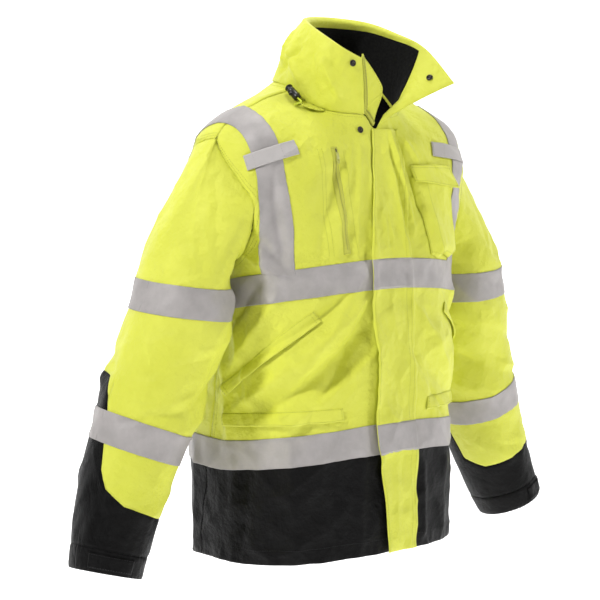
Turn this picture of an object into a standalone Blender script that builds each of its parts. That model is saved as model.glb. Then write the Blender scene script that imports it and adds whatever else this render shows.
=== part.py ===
"""Hi-vis work jacket: a parka with its hood rolled up in the collar, filled out as if worn.

Metres, +Z up. The front faces -Y and the wearer's left is +X. The origin is the centre of
the neck seam, where the wearer carries the jacket.

Every piece of cloth lies on one of three surfaces: the body, a sleeve or the collar. Each
surface is worked out from a short table of rings, and each piece is a wall that follows it.
On the body, turn is the angle round the wearer from the centre front (+ to the left) and
rise runs from 0 at the hem to 1 at the neck seam. On a sleeve, roll is the angle round the
arm from its outer line (+ to the front) and reach runs from 0 at the armhole to 1 at the cuff.
"""
import math

import bmesh
import bpy
import numpy as np
from mathutils import Matrix, Vector

# ------------------------------------------------------------------ driving sizes, metres
CLOTH = 0.0020            # shell fabric with its quilted interlining
TRIM = 0.0010             # tape, tabs and other single layers
SEAM = 0.0003             # gap between pieces that are sewn together
TAPE_WIDTH = 0.0508       # two-inch reflective tape
TAB_WIDTH = 0.0254        # one-inch webbing
FLAT = math.radians(1.0)  # facets closer than this count as one in what lies on a panel
STEP = 0.002              # finite step that finds a surface's slope

# rise, centre y, half width, depth in front and behind, height in front, at the side and
# behind, squareness
BODY = (
    (0.00, 0.000, 0.232, 0.182, 0.206, -0.786, -0.798, -0.822, 2.4),
    (0.12, 0.000, 0.232, 0.184, 0.206, -0.700, -0.708, -0.722, 2.4),
    (0.24, 0.000, 0.231, 0.183, 0.204, -0.602, -0.608, -0.614, 2.4),
    (0.38, 0.000, 0.229, 0.178, 0.197, -0.482, -0.489, -0.492, 2.5),
    (0.50, 0.000, 0.227, 0.172, 0.188, -0.372, -0.384, -0.386, 2.6),
    (0.60, -0.002, 0.232, 0.163, 0.177, -0.285, -0.300, -0.300, 2.7),
    (0.72, -0.010, 0.256, 0.146, 0.164, -0.200, -0.194, -0.200, 2.9),
    (0.84, -0.026, 0.254, 0.118, 0.148, -0.130, -0.070, -0.090, 2.4),
    (0.92, -0.034, 0.182, 0.103, 0.140, -0.092, -0.022, -0.032, 2.2),
    (1.00, -0.030, 0.098, 0.100, 0.118, -0.042, 0.002, 0.018, 2.0),
)
BODY_RADIUS = 0.2         # turns degrees round the body into metres of cloth
NECK_DIP = 0.026          # how far the neck seam drops at the centre front
NECK_DIP_TURN = 9.0       # half width of that drop, degrees

# reach, centre x, y and z on the right arm's mirror side, half across, half deep
SLEEVE = (
    (0.30, 0.313, -0.014, -0.300, 0.068, 0.086),
    (0.42, 0.322, -0.009, -0.372, 0.080, 0.090),
    (0.56, 0.350, 0.004, -0.465, 0.084, 0.089),
    (0.70, 0.384, 0.017, -0.562, 0.080, 0.085),
    (0.88, 0.428, 0.024, -0.695, 0.069, 0.073),
    (1.00, 0.455, 0.018, -0.790, 0.060, 0.063),
)
LEFT_SWING = ((0.30, 0.0, 0.0), (0.70, 0.003, -0.004), (1.00, 0.022, -0.020))

# turn in degrees, top x, y and z, outward bulge, thickness of shell and rolled hood
COLLAR = (
    (-14, -0.036, -0.137, 0.048, 0.003, 0.003),
    (-50, -0.080, -0.126, 0.068, 0.006, 0.008),
    (-90, -0.092, -0.085, 0.092, 0.006, 0.012),
    (-135, -0.070, -0.022, 0.117, 0.004, 0.014),
    (-180, 0.000, 0.008, 0.126, 0.008, 0.014),
    (-225, 0.075, -0.020, 0.119, 0.010, 0.013),
    (-270, 0.099, -0.078, 0.097, 0.008, 0.010),
    (-310, 0.116, -0.132, 0.068, -0.004, 0.005),
    (-357, 0.126, -0.192, 0.008, -0.012, 0.003),
)

ARM_LOW = 0.605           # rise of the underarm point
ARM_TOP = 0.822           # rise of the shoulder point
ARM_TURN = 88.0           # turn of both, degrees
ARM_FRONT = 18.0          # how far the armhole reaches to the front, degrees
ARM_BACK = 30.0
ARM_SHOULDER = 4.0        # power that keeps the upper front of the armhole straight
SIDE_TURN = 106.0         # turn of the side seam at the hem, degrees
HEM_SEAM = 0.235          # rise of the seam between body and hem panels
FRONT_EDGE = 2.0          # half the gap that the front zip fills, degrees
ROLLS = 20                # columns round a sleeve

# body folds: from turn, height, to turn, height, half width, depth (+ stands out)
BODY_FOLDS = (
    (-24, -0.385, -66, -0.500, 0.020, 0.007),
    (-30, -0.440, -74, -0.535, 0.018, -0.005),
    (-20, -0.480, -60, -0.560, 0.020, 0.005),
    (-66, -0.150, -70, -0.280, 0.016, -0.005),
    (-48, -0.090, -52, -0.260, 0.020, 0.005),
    (62, -0.150, 66, -0.290, 0.018, -0.005),
    (30, -0.400, 68, -0.510, 0.020, 0.006),
    (24, -0.460, 60, -0.560, 0.018, -0.005),
    (128, -0.160, 122, -0.300, 0.020, -0.006),
    (-128, -0.160, -124, -0.300, 0.020, -0.006),
    (150, -0.220, 170, -0.500, 0.026, 0.006),
    (-150, -0.240, -168, -0.520, 0.026, 0.006),
    (120, -0.400, 150, -0.540, 0.022, -0.005),
    (-118, -0.390, -146, -0.550, 0.022, -0.005),
)

# sleeve folds: from roll, reach, to roll, reach, half width, depth
SLEEVE_FOLDS = (
    (150, 0.30, 60, 0.40, 0.018, -0.006),
    (165, 0.42, 70, 0.50, 0.020, 0.006),
    (170, 0.54, 80, 0.60, 0.018, -0.006),
    (160, 0.62, 70, 0.70, 0.018, 0.005),
    (-30, 0.60, -110, 0.64, 0.020, 0.005),
    (-20, 0.70, -120, 0.74, 0.018, -0.005),
    (30, 0.14, 70, 0.32, 0.018, -0.005),
    (60, 0.80, 0, 0.86, 0.016, -0.004),
)
SLEEVE_LENGTH = 0.70
SLEEVE_RADIUS = 0.080

# where the dark forearm cloth begins: roll in degrees, reach
FOREARM_EDGE = (
    (-180, 0.845), (-165, 0.700), (-150, 0.640), (-90, 0.600), (-45, 0.605), (-15, 0.640),
    (0, 0.690), (15, 0.835), (60, 0.870), (120, 0.880), (150, 0.880), (180, 0.845),
)
CUFF_TAB = 0.978          # reach of the middle of the cuff tab
CUFF_TAB_WIDTH = 0.022
COLLAR_COLUMNS = 29
COLLAR_ROWS = 7
COLLAR_OUT = 0.004        # how far outside the neck seam the collar's foot stands
COLLAR_UP = 0.003         # how far above it
COLLAR_FOOT = 0.35        # share of its thickness that it has at its foot
COLLAR_FULL = 0.3         # share of its height at which it has its full thickness
COLLAR_CROWN = 0.25       # share of its thickness by which its rim is rounded on each face
CUFF_BAND = 0.955         # reach of the seam above the cuff band
SLEEVE_TAPES = (0.380, 0.713)

# rings of tape: height at the sides and behind, climb to the centre front, its power
CHEST_TAPE = (-0.350, 0.038, 0.8)
LOWER_TAPE = (-0.618, 0.029, 1.1)
SHOULDER_TAPES = (("right", -1, 0.231), ("left", 1, 0.216))  # distance out at height 0
SHOULDER_SLOPE = -0.12
# height, share of its width that a brace takes across the body: the cloth there is slanted
BRACE_SHARES = ((-0.30, 0.72), (-0.15, 0.76), (-0.09, 0.84), (-0.05, 0.92))
OVER_TAPE = 0.0018        # lift of what lies on a tape
FLAP_RIGHT = -0.046       # storm flap: its free edge and its sewn edge
FLAP_LEFT = 0.050
FLAP_SLANTS = ((-0.280, 0.165), (-0.600, -0.155))  # height where the free edge turns, slope
FLAP_THICK = 0.0020
FLAP_TOP = -0.070         # its upper end, just under the neck seam
FLAP_REST = 0.015         # x up to which it lies close
FLAP_OFF = 0.002          # how far its free edge stands off all the way
FLAP_SPRING = 0.011       # how much further the free edge stands off at the hem
HEM_DEPTH = 0.8           # from the neck to the hem

# strips on the body: name, side, from turn and height, to turn and height, width, finish,
# lift, thickness
BODY_STRIPS = (
    ("mic_tab_right", -1, 59.5, -0.100, 74.5, -0.126, TAB_WIDTH, "webbing", OVER_TAPE, TRIM),
    ("mic_tab_left", 1, 50.0, -0.103, 69.0, -0.117, TAB_WIDTH, "webbing", OVER_TAPE, TRIM),
    ("hand_pocket_welt_right", -1, 44, -0.377, 87, -0.508, 0.021, "yellow_shell", SEAM, 0.003),
    ("hand_pocket_welt_left", 1, 44, -0.377, 87, -0.508, 0.021, "yellow_shell", SEAM, 0.003),
    ("lower_pocket_flap_right", -1, 32, -0.542, 87, -0.556, 0.022, "yellow_shell", SEAM, 0.002),
    ("lower_pocket_flap_left", 1, 24, -0.539, 80, -0.558, 0.022, "yellow_shell", SEAM, 0.002),
    ("chest_zip", -1, 42.8, -0.100, 29.8, -0.277, 0.014, "yellow_shell", SEAM, TRIM),
)
# radio pocket and its flap: x of the left and right edge at the top, their slant, height of
# the top and of the bottom at x = 0, slope of the bottom
RADIO_POCKET = (0.069, 0.160, -0.24, -0.151, -0.284, -0.03)
RADIO_FLAP = (0.066, 0.163, -0.24, -0.131, -0.150, -0.13)
RADIO_DEEP = 0.010        # how far its bellows stand out
RADIO_BEND = -0.148       # height at which the flap has come out over the pocket

# zip guard beside the right collar edge: x, y and z of its free edge, from the top down
GUARD_EDGE = (
    (-0.033, -0.137, 0.056),
    (-0.009, -0.134, 0.034),
    (0.017, -0.130, 0.006),
    (0.019, -0.129, -0.008),
    (0.011, -0.128, -0.034),
    (0.003, -0.128, -0.058),
)
GUARD_TURN = 0.62         # share of the guard's length that lies along the collar's edge
GUARD_GAP = 0.0013        # between the collar's end and the tape and guard beside it
ZIP_TAPE = 0.0095         # visible width of the zip's tape beside the collar
NECK_LINING = (3, 0.780)  # lining behind the neck: columns left out at each side, lowest rise
FLEECE = (1, 24, 5)       # first and last column and last row of the collar that it covers
FLEECE_THICK = 0.0025

# lip of the hood pouch: turn in degrees, width below the neck seam as a share of rise
POUCH_LIP = ((-72, 0.018), (-69, 0.028), (-64, 0.025), (-58, 0.016), (-53, 0.006))
LIP_TOP = 0.994
LIP_STANDS = 0.006        # how far its lower edge stands off

# snaps: radius and height above the cloth, from the rim to the middle
SNAP = ((0.0052, 0.0), (0.0056, 0.0008), (0.0054, 0.0018), (0.0040, 0.0026), (0.0024, 0.0022))
SNAP_FRONT = (-20.7, -0.071)   # turn and height on the right front
SNAP_COLLAR = (0.050, 0.83)    # along and up the collar
SNAP_LAPEL = (0.955, 0.80)

# cord lock: radius and distance along it, from its flared end to the end with the cord
CORD_LOCK = (
    (0.0062, 0.0), (0.0070, 0.0012), (0.0046, 0.0060), (0.0046, 0.0075), (0.0062, 0.0082),
    (0.0066, 0.0095), (0.0066, 0.0320), (0.0060, 0.0330),
)
LOCK_PLACE = (-81.0, -0.017, 0.0105)  # turn, height and how far its axis stands off
LOCK_AXIS = (-0.090, -0.831, -0.549)
CORD = 0.0030             # drawcord, across
CORD_LOOP = 0.012         # how far the cord runs on past the lock before it turns back
CORD_ENDS = ((-73.5, 0.963), (-73.6, 0.975))  # turn and rise where it slips under the lip

SLIDER = (41.4, -0.106)   # turn and height of the chest zip's slider
SLIDER_SIZE = (0.0075, 0.0095, 0.0030)
PULL_SIZE = (0.0060, 0.0200, 0.0014)
PULL_HINGE = 0.0012       # height of its hinge above the slider's lower end
PULL_LEAN = 6.0           # degrees that its tip leans in towards the cloth


# ------------------------------------------------------------------ finishes
FINISHES = {
    "yellow_shell": ((0.76, 0.86, 0.03, 1), 0.55, 0.0),
    "black_shell": ((0.012, 0.012, 0.014, 1), 0.60, 0.0),
    "reflective_tape": ((0.42, 0.40, 0.39, 1), 0.38, 0.2),
    "webbing": ((0.62, 0.60, 0.56, 1), 0.70, 0.0),
    "black_fleece": ((0.008, 0.008, 0.009, 1), 0.95, 0.0),
    "black_lining": ((0.010, 0.010, 0.012, 1), 0.60, 0.0),
    "zip_coil": ((0.60, 0.66, 0.10, 1), 0.45, 0.0),
    "dark_metal": ((0.05, 0.048, 0.045, 1), 0.35, 0.9),
    "black_plastic": ((0.015, 0.015, 0.016, 1), 0.35, 0.0),
    "yellow_cord": ((0.70, 0.80, 0.06, 1), 0.70, 0.0),
}


def finish(name):
    """The material for one finish."""
    if name in bpy.data.materials:
        return bpy.data.materials[name]
    colour, roughness, metallic = FINISHES[name]
    material = bpy.data.materials.new(name)
    material.use_nodes = True
    shader = material.node_tree.nodes["Principled BSDF"]
    shader.inputs["Base Color"].default_value = colour
    shader.inputs["Roughness"].default_value = roughness
    shader.inputs["Metallic"].default_value = metallic
    return material


# ------------------------------------------------------------------ smooth curves and surfaces
def smooth(knots, rows, at):
    """A cubic through the rows at the knots; each row's slope comes from its neighbours."""
    knots = np.asarray(knots, float)
    rows = np.asarray(rows, float)
    at = np.clip(np.asarray(at, float), knots[0], knots[-1])
    step = np.diff(knots).reshape((-1,) + (1,) * (rows.ndim - 1))
    secant = np.diff(rows, axis=0) / step
    slopes = np.empty_like(rows)
    slopes[0] = secant[0]
    slopes[-1] = secant[-1]
    slopes[1:-1] = (secant[:-1] * step[1:] + secant[1:] * step[:-1]) / (step[1:] + step[:-1])
    span = np.clip(np.searchsorted(knots, at, side="right") - 1, 0, len(knots) - 2)
    spread = (Ellipsis,) + (None,) * (rows.ndim - 1)
    width = (knots[span + 1] - knots[span])[spread]
    t = (at - knots[span])[spread] / width
    return ((1 + 2 * t) * (1 - t) ** 2 * rows[span]
            + t * (1 - t) ** 2 * width * slopes[span]
            + t * t * (3 - 2 * t) * rows[span + 1]
            + t * t * (t - 1) * width * slopes[span + 1])


def fold_height(folds, across, along):
    """Sum of soft ridges: each is a bell across its line and fades at both of its ends."""
    height = np.zeros(np.broadcast(across, along).shape)
    for x1, y1, x2, y2, width, depth in folds:
        length = math.hypot(x2 - x1, y2 - y1)
        dx = (x2 - x1) / length
        dy = (y2 - y1) / length
        run = ((across - x1) * dx + (along - y1) * dy) / length
        off = (across - x1) * dy - (along - y1) * dx
        fade = np.clip(np.minimum(run, 1 - run) * 3 + 0.6, 0, 1)
        height += depth * fade ** 2 * np.exp(-((off / width) ** 2))
    return height


def body(turn, rise):
    """A point of the body: a squarish ring of the table, each half with its own depth."""
    turn, rise = np.broadcast_arrays(np.asarray(turn, float), np.asarray(rise, float))
    table = np.array(BODY)
    ring = smooth(table[:, 0], table[:, 1:], rise)
    centre, half, front, back, z_front, z_side, z_back, square = np.moveaxis(ring, -1, 0)
    across = np.sin(turn)
    ahead = np.cos(turn)
    depth = np.where(ahead > 0, front, back)
    radius = (np.abs(across / half) ** square + np.abs(ahead / depth) ** square) ** (-1 / square)
    neck = np.clip((rise - 0.84) / 0.16, 0, 1)
    level = np.abs(ahead) ** 1.5 * (1 - neck) + (2 - np.abs(ahead)) * np.abs(ahead) * neck
    z = z_side + (np.where(ahead > 0, z_front, z_back) - z_side) * level
    scale = math.radians(1) * BODY_RADIUS
    folds = [(a * scale, b, c * scale, d, w, h) for a, b, c, d, w, h in BODY_FOLDS]
    angle = (turn + math.pi) % (2 * math.pi) - math.pi
    radius = radius + fold_height(folds, angle * BODY_RADIUS, z)
    z = z - NECK_DIP * neck ** 2 * np.exp(-((angle / math.radians(NECK_DIP_TURN)) ** 2))
    return np.stack([radius * across, centre - radius * ahead, z], -1)


def rise_at(turn, z):
    """The rise at which the body reaches height z, found by halving."""
    turn, z = np.broadcast_arrays(np.asarray(turn, float), np.asarray(z, float))
    low = np.zeros(turn.shape)
    high = np.ones(turn.shape)
    for _ in range(24):
        middle = (low + high) / 2
        above = body(turn, middle)[..., 2] > z
        high = np.where(above, middle, high)
        low = np.where(above, low, middle)
    return (low + high) / 2


def armhole(roll, side):
    """Turn and rise of the armhole at each roll; side is -1 on the right and 1 on the left."""
    rise = (ARM_LOW + ARM_TOP) / 2 + (ARM_TOP - ARM_LOW) / 2 * np.cos(roll)
    straight = (np.cos(roll) > 0) & (np.sin(roll) > 0)
    bite = np.abs(np.sin(roll)) ** np.where(straight, ARM_SHOULDER, 1)
    reach = np.where(np.sin(roll) > 0, -ARM_FRONT, ARM_BACK)
    return side * np.radians(ARM_TURN + reach * bite), rise


def sleeve(side):
    """The surface of one sleeve, from its armhole through the rings of the table."""
    table = np.array(SLEEVE)
    centres = table[:, 1:4].copy()
    if side > 0:
        swing = np.array(LEFT_SWING)
        centres[:, :2] += smooth(swing[:, 0], swing[:, 1:], table[:, 0])
    centres[:, 0] *= side
    axis = np.gradient(centres, axis=0)
    axis /= np.linalg.norm(axis, axis=1)[:, None]
    outward = np.array([side, 0, 0]) - axis * axis[:, :1] * side
    outward /= np.linalg.norm(outward, axis=1)[:, None]
    forward = np.cross(outward, axis)
    forward *= -np.sign(forward[:, 1:2])
    scale = math.radians(1) * SLEEVE_RADIUS
    folds = [(a * scale, b * SLEEVE_LENGTH, c * scale, d * SLEEVE_LENGTH, w, h)
             for a, b, c, d, w, h in SLEEVE_FOLDS]

    def surface(roll, reach):
        roll, reach = np.broadcast_arrays(np.asarray(roll, float), np.asarray(reach, float))
        shape = roll.shape
        roll = roll.ravel()
        reach = reach.ravel()
        angle = (roll + math.pi) % (2 * math.pi) - math.pi
        bump = fold_height(folds, angle * SLEEVE_RADIUS, reach * SLEEVE_LENGTH)
        rings = [body(*armhole(roll, side))]
        for row, centre, out, front in zip(table, centres, outward, forward):
            rings.append(centre + (row[4] + bump)[:, None] * np.cos(roll)[:, None] * out
                         + (row[5] + bump)[:, None] * np.sin(roll)[:, None] * front)
        rings = np.array(rings)
        knots = np.concatenate([[0], table[:, 0]])
        step = np.diff(knots)[:, None, None]
        secant = np.diff(rings, axis=0) / step
        slopes = np.empty_like(rings)
        slopes[0] = secant[0]
        slopes[-1] = secant[-1]
        slopes[1:-1] = (secant[:-1] * step[1:] + secant[1:] * step[:-1]) / (step[1:] + step[:-1])
        span = np.clip(np.searchsorted(knots, reach, side="right") - 1, 0, len(knots) - 2)
        each = np.arange(len(roll))
        width = (knots[span + 1] - knots[span])[:, None]
        t = (reach - knots[span])[:, None] / width
        point = ((1 + 2 * t) * (1 - t) ** 2 * rings[span, each]
                 + t * (1 - t) ** 2 * width * slopes[span, each]
                 + t * t * (3 - 2 * t) * rings[span + 1, each]
                 + t * t * (t - 1) * width * slopes[span + 1, each])
        return point.reshape(shape + (3,))

    return surface


def collar(along, up):
    """The collar's outer face: along runs from the right edge round the back to the left."""
    along, up = np.broadcast_arrays(np.asarray(along, float), np.asarray(up, float))
    table = np.array(COLLAR)
    row = smooth(np.linspace(0, 1, len(table)), table, along)
    turn = np.radians(row[..., 0])
    base = body(turn, np.ones_like(turn))
    out = np.stack([np.sin(turn), -np.cos(turn), 0 * turn], -1)
    base = base + out * COLLAR_OUT + np.array([0, 0, COLLAR_UP])
    up = up[..., None]
    return base + (row[..., 1:4] - base) * up + out * row[..., 4:5] * 4 * up * (1 - up)


def collar_thickness(along):
    """Thickness of the collar, with the hood rolled up in it."""
    table = np.array(COLLAR)
    return smooth(np.linspace(0, 1, len(table)), table[:, 5], along)


def normals(surface, a, b, flip=1):
    """Unit normals of a surface from its slopes along both of its parameters."""
    da = surface(a + STEP, b) - surface(a - STEP, b)
    db = surface(a, b + STEP) - surface(a, b - STEP)
    normal = np.cross(da, db) * flip
    return normal / np.linalg.norm(normal, axis=-1)[..., None]


# ------------------------------------------------------------------ making solids
def put(name, mesh, material, smooth_angle=40):
    """Finish a mesh as a named object with its material and its faces pointing out."""
    work = bmesh.new()
    work.from_mesh(mesh)
    bmesh.ops.recalc_face_normals(work, faces=work.faces)
    if work.calc_volume(signed=True) < 0:
        bmesh.ops.reverse_faces(work, faces=work.faces)
    work.to_mesh(mesh)
    work.free()
    mesh.materials.append(finish(material))
    mesh.shade_smooth()
    mesh.set_sharp_from_angle(angle=math.radians(smooth_angle))
    part = bpy.data.objects.new(name, mesh)
    bpy.context.scene.collection.objects.link(part)
    return part


def wall(name, outer, inner, material, closed=False):
    """A closed wall between two grids of points; closed joins the last row to the first."""
    rows, columns = outer.shape[:2]
    loops = np.concatenate([outer, inner[:, ::-1]], axis=1)
    around = 2 * columns
    row = np.arange(rows if closed else rows - 1)[:, None]
    column = np.arange(around)[None, :]
    a = row * around + column
    b = row * around + (column + 1) % around
    c = (row + 1) % rows * around + (column + 1) % around
    d = (row + 1) % rows * around + column
    outside = (column < columns)[..., None]
    first = np.where(outside, np.stack([a, b, c], -1), np.stack([b, c, d], -1))
    second = np.where(outside, np.stack([a, c, d], -1), np.stack([b, d, a], -1))
    faces = np.concatenate([first, second]).reshape(-1, 3).tolist()
    if not closed:
        for start in (0, (rows - 1) * around):
            for j in range(columns - 1):
                faces.append([start + j, start + j + 1,
                              start + around - 2 - j, start + around - 1 - j])
    mesh = bpy.data.meshes.new(name)
    mesh.from_pydata(loops.reshape(-1, 3).tolist(), [], faces)
    return put(name, mesh, material)


def draw_in(grid, amount, rows=True, columns=True):
    """Move the grid's edges inward along its own lines, so that sewn pieces keep a gap."""
    grid = grid.copy()
    if rows:
        for edge, inside in ((0, 1), (-1, -2)):
            step = grid[inside] - grid[edge]
            grid[edge] += step / np.linalg.norm(step, axis=-1)[..., None] * amount
    if columns:
        for edge, inside in ((0, 1), (-1, -2)):
            step = grid[:, inside] - grid[:, edge]
            grid[:, edge] += step / np.linalg.norm(step, axis=-1)[..., None] * amount
    return grid


def armhole_normals(roll, side):
    """Mitre direction at the armhole seam, halfway between body and sleeve."""
    turn, rise = armhole(roll, side)
    on_body = normals(body, turn, rise)
    on_sleeve = normals(sleeve(side), roll, np.full(roll.shape, 2 * STEP), side)
    mitre = on_body + on_sleeve
    return mitre / np.linalg.norm(mitre, axis=-1)[..., None]


def cloth(name, points, normal, material, lift=-CLOTH, thick=CLOTH, closed=False,
          gap=SEAM / 2):
    """A piece of cloth: its inner face stands at lift from the points, its outer one above."""
    lift = np.broadcast_to(lift, points.shape[:2])[..., None]
    thick = np.broadcast_to(thick, points.shape[:2])[..., None]
    points = draw_in(points, gap, rows=not closed)
    return wall(name, points + normal * (lift + thick), points + normal * lift, material, closed)


def welded(grids, closed=False):
    """One open surface from grids of points that share their edges."""
    form = bmesh.new()
    for grid in grids:
        rows, columns = grid.shape[:2]
        points = [form.verts.new(point) for point in grid.reshape(-1, 3).tolist()]
        for i in range(rows if closed else rows - 1):
            for j in range(columns - 1):
                a = points[i * columns + j]
                b = points[i * columns + j + 1]
                c = points[(i + 1) % rows * columns + j + 1]
                d = points[(i + 1) % rows * columns + j]
                form.faces.new((a, b, c))
                form.faces.new((a, c, d))
    bmesh.ops.remove_doubles(form, verts=form.verts, dist=0.00002)
    bmesh.ops.recalc_face_normals(form, faces=form.faces)
    return form


def face_out(form, centre):
    """Turn an open surface's faces so that they point away from its middle."""
    total = sum((face.calc_center_median() - Vector(centre)).dot(face.normal)
                * face.calc_area() for face in form.faces)
    if total < 0:
        bmesh.ops.reverse_faces(form, faces=form.faces)
    form.normal_update()
    return form


def split(piece, plane, trim):
    """Cut a mesh along a plane, a point and a normal; trim drops what lies outside it."""
    point, outward = plane
    everything = piece.verts[:] + piece.edges[:] + piece.faces[:]
    bmesh.ops.bisect_plane(piece, geom=everything, dist=0.000001, plane_co=Vector(point),
                           plane_no=Vector(outward), clear_outer=trim)


def cut_from(form, planes, creases=(), warp=None, within=()):
    """A copy of the form, trimmed by planes that are each a point and an outward normal.

    The planes in within trim it as warp would lay it out; its points stay on the form.
    """
    piece = form.copy()
    for plane in planes:
        split(piece, plane, True)
    if within:
        place = piece.verts.layers.float_vector.new("place")
        for vert in piece.verts:
            vert[place] = vert.co
            vert.co = warp(vert.co)
        for plane in within:
            split(piece, plane, True)
        for vert in piece.verts:
            vert.co = vert[place]
    bmesh.ops.remove_doubles(piece, verts=piece.verts, dist=0.0001)
    bmesh.ops.dissolve_limit(piece, angle_limit=FLAT, verts=piece.verts, edges=piece.edges)
    bmesh.ops.triangulate(piece, faces=piece.faces)
    for plane in creases:
        split(piece, plane, False)
    bmesh.ops.triangulate(piece, faces=piece.faces)
    piece.normal_update()
    return piece


def patch(name, form, planes, material, lift=SEAM, thick=TRIM, creases=(), warp=None,
          within=()):
    """Cloth that lies on a form: cut from its facets and moved out by lift at each point."""
    piece = cut_from(form, planes, creases, warp, within)
    piece.verts.index_update()
    points = [vert.co.copy() for vert in piece.verts]
    outward = [vert.normal.copy() for vert in piece.verts]
    lifts = [lift(point) if callable(lift) else lift for point in points]
    total = len(points)
    inner = [point + normal * rise for point, normal, rise in zip(points, outward, lifts)]
    outer = [point + normal * thick for point, normal in zip(inner, outward)]
    faces = []
    for face in piece.faces:
        corners = [vert.index for vert in face.verts]
        faces.append([corner + total for corner in corners])
        faces.append(corners[::-1])
    for edge in piece.edges:
        if len(edge.link_faces) == 1:
            corner = edge.link_loops[0]
            start = corner.vert.index
            end = corner.link_loop_next.vert.index
            faces.append([start, end, end + total, start + total])
    piece.free()
    mesh = bpy.data.meshes.new(name)
    mesh.from_pydata([tuple(point) for point in inner + outer], [], faces)
    return put(name, mesh, material)


def strip_planes(start, end, width, normal, deep=0.12):
    """Planes that leave a strip of the given width from start to end."""
    start = Vector(start)
    end = Vector(end)
    normal = Vector(normal)
    along = (end - start).normalized()
    across = along.cross(normal).normalized()
    middle = (start + end) / 2
    return [(middle + across * width / 2, across), (middle - across * width / 2, -across),
            (end, along), (start, -along), (middle - normal * deep, -normal)]


def on_body(turn, z):
    """A point of the body by its turn in degrees and its height, with its normal."""
    angle = np.array([math.radians(turn)])
    rise = rise_at(angle, np.array([z]))
    return body(angle, rise)[0], normals(body, angle, rise)[0]


# ------------------------------------------------------------------ body panels
def front_rises():
    """Rows of a front or back panel: even up to the underarm, then by the armhole's columns."""
    below = np.linspace(HEM_SEAM, ARM_LOW, 8)[:-1]
    roll = np.linspace(math.pi, 0, ROLLS // 2 + 1)
    arm = armhole(roll, 1)[1]
    above = np.linspace(ARM_TOP, 1, 5)[1:]
    return np.concatenate([below, arm, above])


def side_turn(rise, front):
    """Turn in radians of a panel's outer edge: side seam, armhole, then shoulder seam."""
    seam = np.interp(rise, [0, ARM_LOW], [SIDE_TURN, ARM_TURN])
    middle = (ARM_LOW + ARM_TOP) / 2
    half = (ARM_TOP - ARM_LOW) / 2
    bite = np.sqrt(np.clip(1 - ((rise - middle) / half) ** 2, 0, 1))
    bite = bite ** np.where(front & (rise > middle), ARM_SHOULDER, 1)
    reach = -ARM_FRONT if front else ARM_BACK
    return np.radians(seam + reach * bite)


def panel_turns(rises, columns, side):
    """Turns of a panel's grid: a front on the given side, or the back where side is 0."""
    share = np.linspace(0, 1, columns)[:, None]
    edge = side_turn(rises, side != 0)[None, :]
    if side == 0:
        return edge + share * (2 * math.pi - 2 * edge)
    start = math.radians(FRONT_EDGE)
    return side * (start + share * (edge - start))


def panel(name, side, rises, columns, material):
    """A front or the back, mitred where it meets a sleeve; returns its outer points."""
    turn = panel_turns(rises, columns, side)
    rise = np.broadcast_to(rises, turn.shape)
    points = body(turn, rise)
    normal = normals(body, turn, rise)
    seam = (rises > ARM_LOW - 1e-6) & (rises < ARM_TOP + 1e-6)
    if seam.any():
        middle = (ARM_LOW + ARM_TOP) / 2
        half = (ARM_TOP - ARM_LOW) / 2
        roll = np.arccos(np.clip((rises[seam] - middle) / half, -1, 1))
        if side:
            normal[-1, seam] = armhole_normals(roll, side)
        else:
            normal[0, seam] = armhole_normals(-roll, 1)
            normal[-1, seam] = armhole_normals(-roll, -1)
    cloth(name, points, normal, material)
    return points


def body_panels():
    """Fronts and back, the dark panels below them and the zip; returns the whole form."""
    rises = front_rises()
    hem = np.linspace(0, HEM_SEAM, 5)
    grids = []
    for word, side in (("right", -1), ("left", 1)):
        grids.append(panel(f"front_{word}", side, rises, 10, "yellow_shell"))
        grids.append(panel(f"front_{word}_hem_panel", side, hem, 10, "black_shell"))
    grids.append(panel("back", 0, rises, 17, "yellow_shell"))
    grids.append(panel("back_hem_panel", 0, hem, 17, "black_shell"))
    every = np.concatenate([hem, rises[1:]])
    turn = np.radians(np.array([-FRONT_EDGE, FRONT_EDGE]))[:, None] + 0 * every
    rise = np.broadcast_to(every, turn.shape)
    points = body(turn, rise)
    grids.append(points)
    cloth("front_zip", points, normals(body, turn, rise), "zip_coil", -0.0016, 0.0016)
    left_out, lowest = NECK_LINING
    rise = rises[rises > lowest]
    turn = panel_turns(rise, 17, 0)[left_out:-left_out]
    rise = np.broadcast_to(rise, turn.shape)
    cloth("neck_lining", body(turn, rise), normals(body, turn, rise), "black_lining",
          -CLOTH - SEAM - TRIM, TRIM)
    return face_out(welded(grids), (0, 0, -0.4))


def above_ring(ring, point):
    """Height of a point above the middle line of a ring of tape, which climbs in front."""
    height, climb, power = ring
    front = max(-point.y / math.hypot(point.x, point.y), 0)
    return point.z - height - climb * front ** power


def along_ring(ring):
    """Lays the body out so that the middle line of a ring of tape is at height 0."""
    return lambda point: Vector((point.x, point.y, above_ring(ring, point)))


def along_brace(side, middle):
    """Lays the body out with a brace's middle line at x = 0 and the chest ring's at z = 0."""
    heights, shares = np.array(BRACE_SHARES).T

    def warp(point):
        off = side * point.x + SHOULDER_SLOPE * point.z - middle
        share = float(np.interp(point.z, heights, shares))
        return Vector((off / share, point.y, above_ring(CHEST_TAPE, point)))
    return warp


RING_BAND = [((0, 0, TAPE_WIDTH / 2), (0, 0, 1)), ((0, 0, -TAPE_WIDTH / 2), (0, 0, -1))]
BRACE_BAND = [((TAPE_WIDTH / 2, 0, 0), (1, 0, 0)), ((-TAPE_WIDTH / 2, 0, 0), (-1, 0, 0)),
              ((0, 0, TAPE_WIDTH / 2 + SEAM), (0, 0, -1))]


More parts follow.
